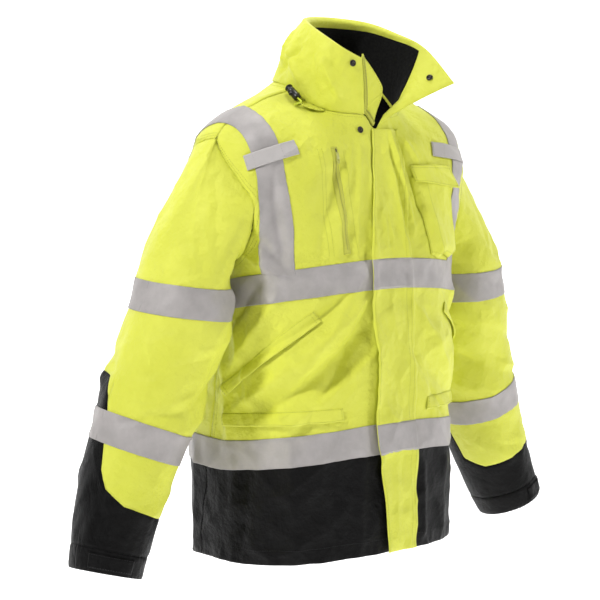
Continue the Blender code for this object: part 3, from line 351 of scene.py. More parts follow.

# %% [markdown]
# ## Cloth on a surface
# `skin` gives a point of the body at a turn and a rise, moved out by its creases and by a
# lift. The creases here are finer than the solids' own: long drape folds that hang from the
# shoulders, drag lines across the front, and shallow rumples that no listed fold gives.

# %% Creases of the body
# from turn, height, to turn, height, half width, depth: drape folds and drag lines
DRAPE = (
    (-30, -0.10, -36, -0.30, 0.010, 0.0024), (-38, -0.12, -44, -0.30, 0.008, -0.0020),
    (-22, -0.12, -24, -0.30, 0.009, 0.0022), (-12, -0.10, -14, -0.55, 0.010, 0.0022),
    (16, -0.08, 22, -0.24, 0.007, 0.0040), (24, -0.07, 30, -0.22, 0.008, -0.0040),
    (32, -0.09, 36, -0.13, 0.008, 0.0030), (10, -0.12, 16, -0.40, 0.008, 0.0025),
    (-18, -0.30, -60, -0.52, 0.010, 0.0040), (-16, -0.36, -50, -0.56, 0.009, -0.0035),
    (-16, -0.350, -84, -0.545, 0.011, 0.0050), (-12, -0.385, -72, -0.555, 0.011, -0.0050),
    (-24, -0.335, -92, -0.500, 0.009, -0.0044), (-10, -0.430, -56, -0.560, 0.009, 0.0040),
    (-66, -0.12, -58, -0.30, 0.009, -0.0045), (-72, -0.14, -66, -0.31, 0.008, 0.0042),
    (-79, -0.20, -60, -0.29, 0.007, -0.0036), (-82, -0.26, -56, -0.32, 0.008, 0.0034),
    (12, -0.09, 17, -0.26, 0.006, -0.0030), (20, -0.08, 27, -0.20, 0.005, 0.0030),
    (-60, -0.34, -88, -0.50, 0.009, 0.0045), (-70, -0.33, -98, -0.46, 0.010, -0.0045),
    (-84, -0.36, -70, -0.56, 0.008, 0.0035), (-92, -0.40, -84, -0.60, 0.010, 0.0040),
    (-56, -0.58, -52, -0.78, 0.012, 0.0030), (-74, -0.62, -78, -0.79, 0.013, -0.0036),
    (-36, -0.62, -34, -0.79, 0.012, -0.0026), (-20, -0.60, -22, -0.78, 0.010, 0.0026),
    (18, -0.36, 48, -0.50, 0.009, 0.0038), (14, -0.44, 40, -0.57, 0.009, -0.0032),
    (60, -0.34, 84, -0.48, 0.010, 0.0045), (70, -0.30, 92, -0.42, 0.009, -0.0040),
    (84, -0.40, 76, -0.60, 0.010, 0.0038), (40, -0.62, 38, -0.79, 0.012, 0.0030),
    (62, -0.60, 66, -0.79, 0.013, -0.0034), (20, -0.62, 22, -0.78, 0.010, 0.0024),
    (104, -0.30, 132, -0.44, 0.012, 0.0050), (112, -0.34, 140, -0.52, 0.012, -0.0045),
    (-104, -0.30, -130, -0.46, 0.012, 0.0050), (-114, -0.36, -142, -0.50, 0.012, -0.0045),
    (126, -0.12, 118, -0.28, 0.010, 0.0040), (-126, -0.12, -118, -0.28, 0.010, 0.0040),
    (150, -0.08, 146, -0.32, 0.012, 0.0035), (-152, -0.10, -148, -0.34, 0.012, 0.0035),
    (168, -0.30, 166, -0.62, 0.016, 0.0045), (-170, -0.34, -172, -0.60, 0.016, -0.0040),
    (136, -0.46, 150, -0.62, 0.013, 0.0040), (-138, -0.48, -152, -0.62, 0.013, 0.0040),
    (110, -0.62, 112, -0.80, 0.014, 0.0036), (-110, -0.62, -112, -0.80, 0.014, 0.0036),
    (136, -0.62, 134, -0.81, 0.015, -0.0036), (-138, -0.62, -136, -0.81, 0.015, -0.0036),
    (162, -0.62, 162, -0.81, 0.014, 0.0036), (-164, -0.62, -164, -0.81, 0.014, 0.0036),
)
DRAPE_METRES = scaled(DRAPE, math.radians(BODY_RADIUS))


def body_creases(turn, z):
    """Drape folds + drag lines stretched one way + small rumples, calmer at neck and hem."""
    a = signed(turn) * BODY_RADIUS
    height = 1.8 * folds_at(DRAPE_METRES, a, z, 1.5)
    slant = a * 0.72 * np.sign(a) + z * 0.70
    cross = a * 0.70 * np.sign(a) - z * 0.72
    calm = np.clip((-0.02 - z) / 0.10, 0.15, 1)
    height = height + calm * 0.0036 * rumple(slant / 0.045, cross / 0.16, 1)
    height = height + calm * 0.0026 * rumple(a / 0.050, z / 0.190, 2)
    height = height + calm * 0.0036 * (crest(rumple(slant / 0.060, cross / 0.110, 3)) - 0.25)
    height = height + calm * 0.0022 * (crest(rumple(cross / 0.045, slant / 0.070, 5)) - 0.25)
    height = height + calm * 0.0014 * rumple(a / 0.017, z / 0.026, 4)
    gather = np.exp(-(((z + 0.790 - 0.018 * np.cos(turn)) / 0.013) ** 2))
    return height + 0.0016 * gather * rumple(a / 0.008, z / 0.05, 6)


def skin(turn, rise, lift=0.0):
    """Body point + normal x (creases + lift)."""
    turn, rise = paired(turn, rise)
    point = body(turn, rise)
    height = body_creases(turn, point[..., 2]) + lift
    return point + normals(body, turn, rise) * height[..., None]


# %% [markdown]
# The sleeves get their own creases: rings of short ridges at the elbow, where the arm bends a
# little, and long drag lines that run from the underarm to the outer elbow.

# %% Creases of the sleeves
# from roll, reach, to roll, reach, half width, depth
ARM_DRAPE = (
    (20, 0.06, 60, 0.30, 0.009, 0.0035), (44, 0.05, 84, 0.26, 0.008, -0.0035),
    (-20, 0.05, -50, 0.28, 0.010, 0.0035), (-44, 0.06, -80, 0.26, 0.010, -0.0035),
    (80, 0.30, 10, 0.37, 0.009, 0.0030), (60, 0.46, -10, 0.54, 0.010, 0.0032),
    (110, 0.48, 30, 0.58, 0.009, -0.0034), (120, 0.56, 40, 0.66, 0.009, 0.0036),
    (100, 0.62, 20, 0.70, 0.008, -0.0030), (-60, 0.54, 0, 0.60, 0.009, -0.0034),
    (-90, 0.58, -20, 0.64, 0.009, 0.0036), (-100, 0.64, -30, 0.68, 0.008, -0.0030),
    (150, 0.34, 90, 0.46, 0.010, 0.0040), (-160, 0.36, -110, 0.48, 0.010, 0.0040),
    (170, 0.50, 110, 0.60, 0.010, -0.0040), (-160, 0.56, -100, 0.62, 0.010, -0.0040),
    (60, 0.80, 0, 0.84, 0.008, 0.0026), (100, 0.84, 30, 0.90, 0.008, -0.0026),
    (-30, 0.80, -80, 0.88, 0.009, 0.0030), (150, 0.80, 100, 0.88, 0.009, 0.0030),
    (10, 0.22, 16, 0.40, 0.012, -0.0024), (-8, 0.44, -6, 0.70, 0.014, 0.0024),
)
ARM_METRES = scaled(ARM_DRAPE, math.radians(1) * SLEEVE_RADIUS, SLEEVE_LENGTH)


def arm_creases(roll, reach, side):
    """Drag lines and elbow ridges + rumples round the arm, fading at armhole and cuff."""
    a = signed(roll) * SLEEVE_RADIUS
    b = reach * SLEEVE_LENGTH
    height = folds_at(ARM_METRES, a, b, 1.5)
    seed = 5 if side < 0 else 9
    ring = np.cos(roll), np.sin(roll)
    slant = b / 0.045 + 1.2 * ring[1] + 0.7 * ring[0]
    height = height + 0.0020 * rumple(slant, 2 + 1.6 * ring[0], seed)
    height = height + 0.0020 * rumple(3 + 2.6 * ring[0], 3 + 2.6 * ring[1] + b / 0.20, seed + 1)
    height = height + 0.0016 * (crest(rumple(b / 0.07 - 1.5 * ring[1], 2 + 2.2 * ring[0],
                                             seed + 2)) - 0.25)
    height = height + 0.0007 * rumple(8 + 5 * ring[0], 8 + 5 * ring[1] + b / 0.022, seed + 3)
    return height * np.clip(np.minimum(reach / 0.05, (1.02 - reach) / 0.06), 0.1, 1)


def arm_normals(side, roll, reach):
    """Normals of a sleeve, taken two steps inside its ends at most."""
    return normals(ARMS[side], roll, np.clip(reach, 2 * STEP, 1 - 2 * STEP), side)


def arm(side, roll, reach, lift):
    """Sleeve point + normal x (creases + lift); at the armhole it moves with the body's skin."""
    roll, reach = paired(roll, reach)
    point = ARMS[side](roll, reach)
    out = arm_normals(side, roll, reach)
    height = arm_creases(roll, reach, side) + lift
    seam = armhole(roll, side)
    sewn = np.clip(1 - reach / 0.08, 0, 1) ** 2
    return point + out * height[..., None] + (skin(*seam) - body(*seam)) * sewn[..., None]


# %% [markdown]
# ## From a grid to a piece of cloth
# A grid of points becomes a mesh of four-sided faces, with a UV map in metres, so that the
# weave keeps its size and follows the cloth. Solidify gives it a wall that grows inwards from
# the outer face. For each piece the size it would be cut to is kept: the longest line across
# it, the longest line along it, and its area.

# %% Cloth maker
JACKET = "jacket"
SMALLEST_CUT = 0.0101
CUTS = {}


def run_lengths(points, axis):
    """Distances along the grid's lines, from zero at their start."""
    step = np.linalg.norm(np.diff(points, axis=axis), axis=-1)
    start = np.zeros_like(np.take(step, [0], axis=axis))
    return np.concatenate([start, np.cumsum(step, axis=axis)], axis=axis)


def mesh_from_grid(name, points, out, round_about=False):
    """Quads between neighbours of the grid, wound so that they face along out."""
    rows, columns = points.shape[:2]
    index = np.arange(rows * columns).reshape(rows, columns)
    quads = np.stack([index[:-1, :-1], index[1:, :-1], index[1:, 1:], index[:-1, 1:]], -1)
    facing = np.cross(points[1:, 1:] - points[:-1, :-1], points[:-1, 1:] - points[1:, :-1])
    if (facing * out[:-1, :-1]).sum() < 0:
        quads = quads[..., ::-1]
    quads = quads.reshape(-1, 4)
    mesh = bpy.data.meshes.new(name)
    mesh.from_pydata(points.reshape(-1, 3).tolist(), [], quads.tolist())
    u = run_lengths(points, 0)
    v = run_lengths(points, 1)
    u = np.broadcast_to(u[:, columns // 2:columns // 2 + 1], u.shape)
    layer = mesh.uv_layers.new(name="cloth")
    both = np.stack([u, v], -1).reshape(-1, 2)[quads.ravel()]
    layer.data.foreach_set("uv", both.astype(np.float32).ravel())
    if round_about:
        work = bmesh.new()
        work.from_mesh(mesh)
        bmesh.ops.remove_doubles(work, verts=work.verts, dist=WELD)
        work.to_mesh(mesh)
        work.free()
    mesh.shade_smooth()
    return mesh


def area_of(points):
    """Area of a grid: half the length of the cross product of each quad's diagonals."""
    first = points[1:, 1:] - points[:-1, :-1]
    second = points[1:, :-1] - points[:-1, 1:]
    return float(np.linalg.norm(np.cross(first, second), axis=-1).sum() / 2)


def place(name, mesh, material, slot, nodes=(), body=JACKET):
    """Link a mesh as a piece that rides on a body and stands for its solids."""
    piece = bpy.data.objects.new(name, mesh)
    bpy.context.scene.collection.objects.link(piece)
    for one in material if isinstance(material, (list, tuple)) else [material]:
        mesh.materials.append(one)
    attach(piece, body)
    if nodes:
        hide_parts(*nodes)
    return piece


def cloth(name, points, out, material, slot, nodes, thick=0.0014, held="laid",
          round_about=False, inside=None):
    """A piece of cloth from its outer face's grid, with a wall and the size of its cut."""
    mesh = mesh_from_grid(name, points, out, round_about)
    piece = place(name, mesh, [material] + ([inside] if inside else []), slot, nodes)
    wall = piece.modifiers.new("wall", "SOLIDIFY")
    wall.thickness = thick
    wall.offset = -1
    wall.use_quality_normals = True
    if inside:
        wall.material_offset = 1
    width = max(float(run_lengths(points, 0)[-1].max()), SMALLEST_CUT)
    length = max(float(run_lengths(points, 1)[:, -1].max()), SMALLEST_CUT)
    area = min(max(area_of(points), 0.31 * width * length), width * length)
    CUTS[name] = (round(width * 1000), round(length * 1000), round(area * 10000))


# %% [markdown]
# ## Finishes
# The shell is a tightly woven polyester in fluorescent yellow. Its colour stays nearly even;
# what shows is the light on a fine plain weave and on small crinkles. The weave is two wave
# textures on the UV map, in metres, multiplied so that threads cross.

# %% Material helpers
def node(tree, kind, **values):
    """A shader node with its inputs and settings."""
    made = tree.nodes.new(kind)
    for key, value in values.items():
        if key in made.inputs:
            made.inputs[key].default_value = value
        else:
            setattr(made, key, value)
    return made


def base_material(name, colour, roughness, metallic=0.0, sheen=0.0, sheen_roughness=0.4):
    """A Principled material with plain constants on the shader's own sockets."""
    material = bpy.data.materials.new(name)
    material.use_nodes = True
    shader = material.node_tree.nodes["Principled BSDF"]
    shader.inputs["Base Color"].default_value = (*colour, 1)
    shader.inputs["Roughness"].default_value = roughness
    shader.inputs["Metallic"].default_value = metallic
    shader.inputs["Sheen Weight"].default_value = sheen
    shader.inputs["Sheen Roughness"].default_value = sheen_roughness
    return material, material.node_tree, shader


def tint(tree, shader, colour, darker, scale):
    """Let the colour drift between two shades with a soft noise on Object coordinates."""
    where = node(tree, "ShaderNodeTexCoord")
    noise = node(tree, "ShaderNodeTexNoise", Scale=scale, Detail=4.0, Roughness=0.6)
    tree.links.new(where.outputs["Object"], noise.inputs["Vector"])
    ramp = node(tree, "ShaderNodeValToRGB")
    for number, position, shade in ((0, 0.35, darker), (1, 0.65, colour)):
        ramp.color_ramp.elements[number].position = position
        ramp.color_ramp.elements[number].color = (*shade, 1)
    tree.links.new(noise.outputs["Fac"], ramp.inputs["Fac"])
    tree.links.new(ramp.outputs["Color"], shader.inputs["Base Color"])
    return where


def bump(tree, shader, height, distance, before=None):
    """One bump layer, chained after the one before it."""
    made = node(tree, "ShaderNodeBump", Strength=1.0, Distance=distance)
    tree.links.new(height, made.inputs["Height"])
    if before:
        tree.links.new(before.outputs["Normal"], made.inputs["Normal"])
    tree.links.new(made.outputs["Normal"], shader.inputs["Normal"])
    return made


def weave(tree, where, pitch):
    """Height of a plain weave: one wave across times one wave along the cloth."""
    across = node(tree, "ShaderNodeTexWave", Scale=math.pi / 10 / pitch, Distortion=0.4)
    along = node(tree, "ShaderNodeTexWave", Scale=math.pi / 10 / pitch, Distortion=0.4)
    along.bands_direction = "Y"
    both = node(tree, "ShaderNodeMath", operation="MULTIPLY")
    for wave, slot_name in ((across, 0), (along, 1)):
        tree.links.new(where.outputs["UV"], wave.inputs["Vector"])
        tree.links.new(wave.outputs["Fac"], both.inputs[slot_name])
    return both.outputs["Value"]


def crinkle(tree, where, scale, detail=3.0):
    """Height of small random crinkles on Object coordinates."""
    noise = node(tree, "ShaderNodeTexNoise", Scale=scale, Detail=detail, Roughness=0.55)
    tree.links.new(where.outputs["Object"], noise.inputs["Vector"])
    return noise.outputs["Fac"]


def woven(name, colour, darker, roughness, pitch, depth, rough_bump=0.0012, sheen=0.1, gloss=0.3):
    """Woven cloth: drifting tint, weave bump and crinkle bump."""
    material, tree, shader = base_material(name, colour, roughness, 0.0, sheen)
    shader.inputs["Specular IOR Level"].default_value = gloss
    where = tint(tree, shader, colour, darker, 9.0)
    first = bump(tree, shader, crinkle(tree, where, 44.0, 4.0), rough_bump * 4.5)
    bump(tree, shader, weave(tree, where, pitch), depth, first)
    return material


# %% Finishes of cloth
YELLOW = woven("fluorescent_shell", (0.80, 0.83, 0.10), (0.74, 0.77, 0.075), 0.50, 0.0011, 0.00018)
BLACK = woven("black_shell", (0.0020, 0.0019, 0.0020), (0.0036, 0.0034, 0.0034), 0.44, 0.0011,
              0.0002, sheen=0.0, gloss=0.13)
LINING = woven("black_lining", (0.004, 0.004, 0.004), (0.006, 0.006, 0.006), 0.60, 0.0012, 0.0001,
               sheen=0.0, gloss=0.15)
WEBBING = woven("grey_webbing", (0.60, 0.57, 0.55), (0.52, 0.49, 0.48), 0.75, 0.0016, 0.0004, 0.0003)
ZIP_TAPE_CLOTH = woven("zip_tape_cloth", (0.66, 0.67, 0.10), (0.58, 0.59, 0.08), 0.70, 0.0010,
                       0.0002, 0.0003)

# %% [markdown]
# Reflective tape is a grey fabric covered in tiny glass beads. It looks flat and slightly
# milky, with a grain much finer than cloth. A little metal in the shader gives it its cool
# even tone, and a very fine noise breaks up the light.

# %% Reflective tape, fleece, thread and metal
TAPE, tape_tree, tape_shader = base_material("reflective_tape", (0.40, 0.37, 0.36), 0.56, 0.15)
tape_where = tint(tape_tree, tape_shader, (0.47, 0.44, 0.43), (0.39, 0.365, 0.355), 26.0)
tape_soft = bump(tape_tree, tape_shader, crinkle(tape_tree, tape_where, 70.0), 0.0007)
bump(tape_tree, tape_shader, crinkle(tape_tree, tape_where, 2600.0, 1.0), 0.00015, tape_soft)

FLEECE, fleece_tree, fleece_shader = base_material("black_fleece", (0.004, 0.004, 0.004), 0.95,
                                                   0.0, 0.03, 0.6)
fleece_shader.inputs["Specular IOR Level"].default_value = 0.1
fleece_where = tint(fleece_tree, fleece_shader, (0.010, 0.010, 0.009), (0.004, 0.004, 0.004), 240.0)
fleece_soft = bump(fleece_tree, fleece_shader, crinkle(fleece_tree, fleece_where, 160.0), 0.0010)
bump(fleece_tree, fleece_shader, crinkle(fleece_tree, fleece_where, 900.0), 0.0006, fleece_soft)


def moulded(name, colour, roughness, metallic=0.0, grain=1800.0, depth=0.00004):
    """Moulded plastic, thread or metal with a faint grain."""
    material, tree, shader = base_material(name, colour, roughness, metallic)
    where = tint(tree, shader, colour, tuple(c * 0.8 for c in colour), 300.0)
    bump(tree, shader, crinkle(tree, where, grain, 1.0), depth)
    return material


THREAD = moulded("yellow_thread", (0.42, 0.46, 0.03), 0.65, depth=0.0001)
BLACK_THREAD = moulded("black_thread", (0.02, 0.02, 0.022), 0.55, depth=0.0001)
GREY_THREAD = moulded("grey_thread", (0.50, 0.48, 0.46), 0.60, depth=0.0001)
COIL = moulded("zip_coil", (0.50, 0.51, 0.10), 0.42)
DARK_METAL = moulded("dark_snap_metal", (0.060, 0.055, 0.050), 0.32, 0.9)
PLASTIC = moulded("black_plastic", (0.012, 0.012, 0.013), 0.34)
CORD_CLOTH = moulded("yellow_cord", (0.66, 0.76, 0.05), 0.70, grain=900.0, depth=0.0003)
print("finishes:", len(bpy.data.materials))

# %% [markdown]
# ## The body's panels
# Two fronts, a back and three dark hem panels. A sewn edge turns in, so every edge of a panel
# dips over its last few millimetres: two dips side by side read as a seam.

# %% Panel edges
def side_turn(rise, front):
    """A panel's outer edge: side seam, then the armhole's curve, then the shoulder seam."""
    seam = np.interp(rise, [0, ARM_LOW], [SIDE_TURN, ARM_TURN])
    middle, half = (ARM_LOW + ARM_TOP) / 2, (ARM_TOP - ARM_LOW) / 2
    bite = np.sqrt(np.clip(1 - ((rise - middle) / half) ** 2, 0, 1))
    bite = bite ** np.where(front & (rise > middle), ARM_SHOULDER, 1)
    return np.radians(seam + (-ARM_FRONT if front else ARM_BACK) * bite)


def panel_turns(rises, columns, side):
    """Turns of a panel's grid, evenly shared between its inner and its outer edge."""
    share = np.linspace(0, 1, columns)[:, None]
    edge = side_turn(rises, side != 0)[None, :]
    if side == 0:
        return edge + share * (2 * math.pi - 2 * edge)
    start = math.radians(FRONT_EDGE)
    return side * (start + share * (edge - start))


def edge_dip(points, depth=0.0012, reach=0.0035, sides="lrtb"):
    """Depth x exp(-(distance / reach) ^ 2) from each named edge of the grid."""
    u, v = run_lengths(points, 0), run_lengths(points, 1)
    far = np.full(points.shape[:2], 1.0)
    for letter, distance in (("l", u), ("r", u[-1:] - u), ("b", v), ("t", v[:, -1:] - v)):
        if letter in sides:
            far = np.minimum(far, distance)
    return depth * np.exp(-((far / reach) ** 2))


def edge_pucker(points, sides, depth=0.0007, pitch=0.0095, reach=0.009):
    """Small waves along each sewn edge: depth x sine of the run x exp(-distance / reach)."""
    u, v = run_lengths(points, 0), run_lengths(points, 1)
    height = np.zeros(points.shape[:2])
    for letter, distance, run in (("l", u, v), ("r", u[-1:] - u, v), ("b", v, u),
                                  ("t", v[:, -1:] - v, u)):
        if letter in sides:
            phase = 2 * math.pi * run / pitch + 4.0 * rumple(run / 0.035, distance / 0.02, 5)
            share = 0.65 + 0.5 * rumple(run / 0.05, 0.5, 6)
            height += depth * share * np.sin(phase) * np.exp(-distance / reach)
    return height


def body_cloth(name, turn, rise, material, slot, node_name, dip):
    """Cloth that follows the body's skin on a grid of turns and rises; dip names sewn edges."""
    turn, rise = np.broadcast_arrays(turn, rise)
    flat = skin(turn, rise)
    out = normals(body, turn, rise)
    depth = edge_dip(flat, sides=dip) - edge_pucker(flat, dip)
    flat = flat - out * depth[..., None]
    cloth(name, flat, out, material, slot, [node_name], held="hung", inside=LINING)


# %% Fronts, back and hem panels
ARM_ROWS = np.linspace(math.pi, 0, 52)
RISES = np.concatenate([np.linspace(HEM_SEAM, ARM_LOW, 86)[:-1], armhole(ARM_ROWS, 1)[1],
                        np.linspace(ARM_TOP, 1, 46)[1:]])
HEM_RISES = np.linspace(0, HEM_SEAM, 52)
SIDES = (("right", -1), ("left", 1))
PANELS = [(word, f"front_{word}", side, 96, "rt") for word, side in SIDES]
PANELS.append(("back", "back", 0, 150, "lrt"))
for word, panel, side, columns, dip in PANELS:
    body_cloth(f"shell_{panel}", panel_turns(RISES, columns, side), RISES, YELLOW,
               "yellow_shell", panel, dip)
    body_cloth(f"shell_hem_{word}", panel_turns(HEM_RISES, columns, side), HEM_RISES, BLACK,
               "black_shell", f"{panel}_hem_panel", dip)
print("panels:", {k: v[:2] for k, v in CUTS.items()})

# %% [markdown]
# ## Finding a place on the body
# Pockets and tapes are cut by straight lines, so a point of theirs is known by where it lies
# along two straight directions. Newton's method finds the turn and the rise with both of
# those values: each step solves two small linear equations from the surface's own slopes.

# %% Places on the body
UP = np.array([0.0, 0.0, 1.0])


def locate(turn, rise, first, second):
    """Turn and rise where axis . point = value holds for both (axis, value) pairs."""
    turn, rise = np.array(turn, float), np.array(rise, float)
    for _ in range(14):
        point = body(turn, rise)
        by_turn = (body(turn + STEP, rise) - body(turn - STEP, rise)) / (2 * STEP)
        by_rise = (body(turn, rise + STEP) - body(turn, rise - STEP)) / (2 * STEP)
        a, b, e = [(first[0] * v).sum(-1) for v in (by_turn, by_rise, point)]
        c, d, f = [(second[0] * v).sum(-1) for v in (by_turn, by_rise, point)]
        e, f = first[1] - e, second[1] - f
        det = a * d - b * c
        det = np.where(np.abs(det) < 1e-7, 1e-7, det)
        turn = turn + np.clip((e * d - b * f) / det, -0.12, 0.12)
        rise = np.clip(rise + np.clip((a * f - e * c) / det, -0.05, 0.05), 0.0, 1.0)
    return turn, rise


def rise_where(turn, axis, value):
    """The rise at which axis . point reaches a value on each line of turn, by halving."""
    low, high = np.zeros(np.shape(turn)), np.ones(np.shape(turn))
    for _ in range(26):
        middle = (low + high) / 2
        above = body(turn, middle) @ axis > value
        low, high = np.where(above, low, middle), np.where(above, middle, high)
    return (low + high) / 2


def on_front(x, z):
    """Turn and rise of the front at given x and z."""
    x, z = paired(x, z)
    guess = np.arcsin(np.clip(x / 0.24, -0.97, 0.97))
    rise = rise_where(guess, UP, z)
    return locate(guess, rise, (np.array([1.0, 0, 0]), x), (UP, z))


# %% [markdown]
# ## Stitches
# A row of topstitching is many short threads that dip into the cloth. Each is an eight-sided
# needle shape with six corners: two ends, a top, a bottom and two sides. They are all made at
# once from the points of a path and the cloth's normals there.

# %% Stitches
THREADS = {"yellow_thread": [], "black_thread": [], "grey_thread": []}
DIAMOND = np.array(((0, 2, 3), (0, 3, 4), (0, 4, 5), (0, 5, 2),
                    (1, 3, 2), (1, 4, 3), (1, 5, 4), (1, 2, 5)))
STITCH_LIFT = 0.0001
HIGH_STITCH_LIFT = 0.0002
WHOLE = slice(None)


def path_run(points):
    """Distance from a path's start to each of its points."""
    return np.concatenate([[0], np.cumsum(np.linalg.norm(np.diff(points, axis=0), axis=1))])


def path_at(points, out, run, at):
    """A path's places at some distances, with the directions up from the cloth and onwards."""
    middle, up, along = [np.stack([np.interp(at, run, values[:, k]) for k in range(3)], -1)
                         for values in (points, out, np.gradient(points, axis=0))]
    return middle, unit(up), unit(along)


def stitch_row(points, out, thread="yellow_thread", pitch=0.0042, share=0.72, radius=0.00042):
    """Put one thread at each pitch of a path: ends along it, half width radius."""
    run = path_run(points)
    count = max(int(run[-1] / pitch), 1)
    at = (np.arange(count) + 0.5) * run[-1] / count
    middle, up, along = path_at(points, out, run, at)
    aside = unit(np.cross(along, up))
    half = run[-1] / count * share / 2
    corners = np.stack([middle - along * half - up * radius * 0.3,
                        middle + along * half - up * radius * 0.3,
                        middle + up * radius * 1.3, middle + aside * radius,
                        middle - up * radius * 0.6, middle - aside * radius], 1)
    THREADS[thread].append(corners)


def stitch_body(turn, rise, thread="yellow_thread"):
    """A row of stitches on the body's skin."""
    turn, rise = paired(turn, rise)
    stitch_row(skin(turn, rise, HIGH_STITCH_LIFT), normals(body, turn, rise), thread)


def sew(points, out, thread, columns=(), rows=(), along=WHOLE, across=slice(1, -1),
        lift=STITCH_LIFT):
    """Stitches on some rows of a grid, then on some columns, over a part of their length."""
    for line in [(along, row) for row in rows] + [(column, across) for column in columns]:
        stitch_row(points[line] + out[line] * lift, out[line], thread)


# %% [markdown]
# ## Reflective tape on the body
# Two rings go round the body and two braces go over the shoulders. Tape is stiffer than the
# cloth; it puckers a little between its stitches.

# %% Tapes of the body
# height at the sides and behind, climb to the centre front, its power
CHEST_TAPE = (-0.350, 0.038, 0.8)
LOWER_TAPE = (-0.618, 0.029, 1.1)
SHOULDER_TAPES = (("right", -1, 0.231), ("left", 1, 0.216))  # distance out at height 0
SHOULDER_SLOPE = -0.12
# height, share of its width that a brace takes across the body: the cloth there is slanted
BRACE_SHARES = np.array(((-0.30, 0.72), (-0.15, 0.76), (-0.09, 0.84), (-0.05, 0.92)))
TAPE_LIFT = 0.0016
HALF = TAPE_WIDTH / 2
ACROSS = np.array([-1, -0.94, -0.83, -0.7, -0.55, -0.37, -0.18, 0,
                   0.18, 0.37, 0.55, 0.7, 0.83, 0.94, 1])
RING = np.linspace(-math.pi, math.pi, 401)


def level(ring, turn):
    """Height of a ring's middle line: height + climb x (cosine of its bearing) ^ power."""
    height, climb, power = ring
    point = body(turn, rise_where(turn, UP, height))
    front = np.clip(-point[..., 1] / np.hypot(point[..., 0], point[..., 1]), 0, 1)
    return height + climb * front ** power


def pucker(run, across, depth=0.0005, pitch=0.016):
    """Small waves along a tape, strongest at its stitched edges: sine x |across| ^ 3."""
    phase = 2 * math.pi * run / pitch + 3.0 * rumple(run / 0.05, 0.5, 3)
    return depth * np.sin(phase) * np.abs(across) ** 3


def tape_lift(flat):
    """Lift of a tape from its flat grid; its stitched edges are pressed into the cloth."""
    across = np.linspace(-1, 1, flat.shape[1])[None, :]
    return TAPE_LIFT + pucker(run_lengths(flat, 0), across) - 0.0005 * np.abs(across) ** 6


def lay_tape(name, points, out, node_name, ring):
    """A tape with a row of stitches along each edge."""
    cloth(name, points, out, TAPE, "reflective_tape", [node_name], 0.0006, round_about=ring)
    sew(points, out, "grey_thread", rows=(1, -2))


def tape_on_body(name, turn, rise, ring=False):
    """A tape on the body's skin from its grid of turns and rises."""
    lay_tape(f"reflective_{name}", skin(turn, rise, tape_lift(body(turn, rise))),
             normals(body, turn, rise), name, ring)


for name, ring in (("chest_tape", CHEST_TAPE), ("lower_tape", LOWER_TAPE)):
    middle = level(ring, RING)
    rises = np.stack([rise_where(RING, UP, middle + share * HALF) for share in ACROSS], 1)
    tape_on_body(name, RING[:, None] + 0 * rises, rises, ring=True)

SWEEP_END = math.radians(96)
SWEEP = np.linspace(SWEEP_END, -SWEEP_END, 261)
for word, side, middle in SHOULDER_TAPES:
    plane = np.array([side, 0, SHOULDER_SLOPE])
    hub = np.array([0, -0.010, -0.300])
    angle = np.broadcast_to(SWEEP[:, None], (len(SWEEP), len(ACROSS)))
    ray = np.stack([0 * angle, np.cos(angle), np.sin(angle)], -1)
    turn = side * (math.pi / 2 - angle * 0.42)
    rise = 0.88 - 0.30 * (np.abs(angle) / SWEEP_END) ** 1.4
    offset = ACROSS[None, :] * HALF + 0 * angle
    for _ in range(4):
        turn, rise = locate(turn, rise, (plane, middle + offset), (ray, ray @ hub))
        spread = body(turn, rise)
        offset = ACROSS * HALF * np.interp(spread[..., 2], *BRACE_SHARES.T)
    wrong = np.abs(spread @ plane - middle - offset).max()
    keep = (spread[..., 2] > level(CHEST_TAPE, turn) + HALF - 0.011).all(1)
    print(word, "brace fits within", round(float(wrong) * 1000, 2), "mm,", keep.sum(), "rows")
    tape_on_body(f"shoulder_tape_{word}", turn[keep], rise[keep])

# %% [markdown]
# ## The sleeves
# Each arm is three tubes in a row: the yellow upper sleeve, the dark forearm, whose upper edge
# climbs towards the back of the elbow, and the cuff band. Every tube is a grid of rolls round
# the arm and reaches along it.

# %% Sleeves, forearms and cuff bands
# roll in degrees, reach where the dark cloth begins
FOREARM_EDGE = np.array((
    (-180, 0.845), (-165, 0.700), (-150, 0.640), (-90, 0.600), (-45, 0.600), (-17, 0.606),
    (-2, 0.650), (8, 0.710), (19, 0.800), (30, 0.836), (60, 0.862), (120, 0.872), (150, 0.872),
    (180, 0.845),
))
ARM_RING = np.linspace(0, 2 * math.pi, 133)[:, None]


def forearm_start(roll):
    """Reach at which the dark forearm cloth begins, straight between the table's rows."""
    return np.interp(np.degrees(signed(roll)), FOREARM_EDGE[:, 0], FOREARM_EDGE[:, 1])


def arm_cloth(name, side, reach, material, slot, lift=0.0, tuck=0.0):
    """A tube of cloth round an arm; its sewn ends turn in, and tuck goes under the body's edge."""
    roll = np.broadcast_to(ARM_RING, reach.shape)
    points = arm(side, roll, reach, lift)
    out = arm_normals(side, roll, reach)
    depth = edge_dip(points, sides="tb") - edge_pucker(points, "tb", 0.0006)
    points = points - out * depth[..., None]
    if tuck:
        inward = normals(body, *armhole(ARM_RING[:, 0], side))[:, None]
        row = points[:, :1] + unit(points[:, :1] - points[:, 1:2]) * tuck - inward * tuck / 2
        points = np.concatenate([row, points], 1)
        out = np.concatenate([out[:, :1], out], 1)
    cloth(f"shell_{name}", points, out, material, slot, [name], held="hung", round_about=True,
          inside=LINING)


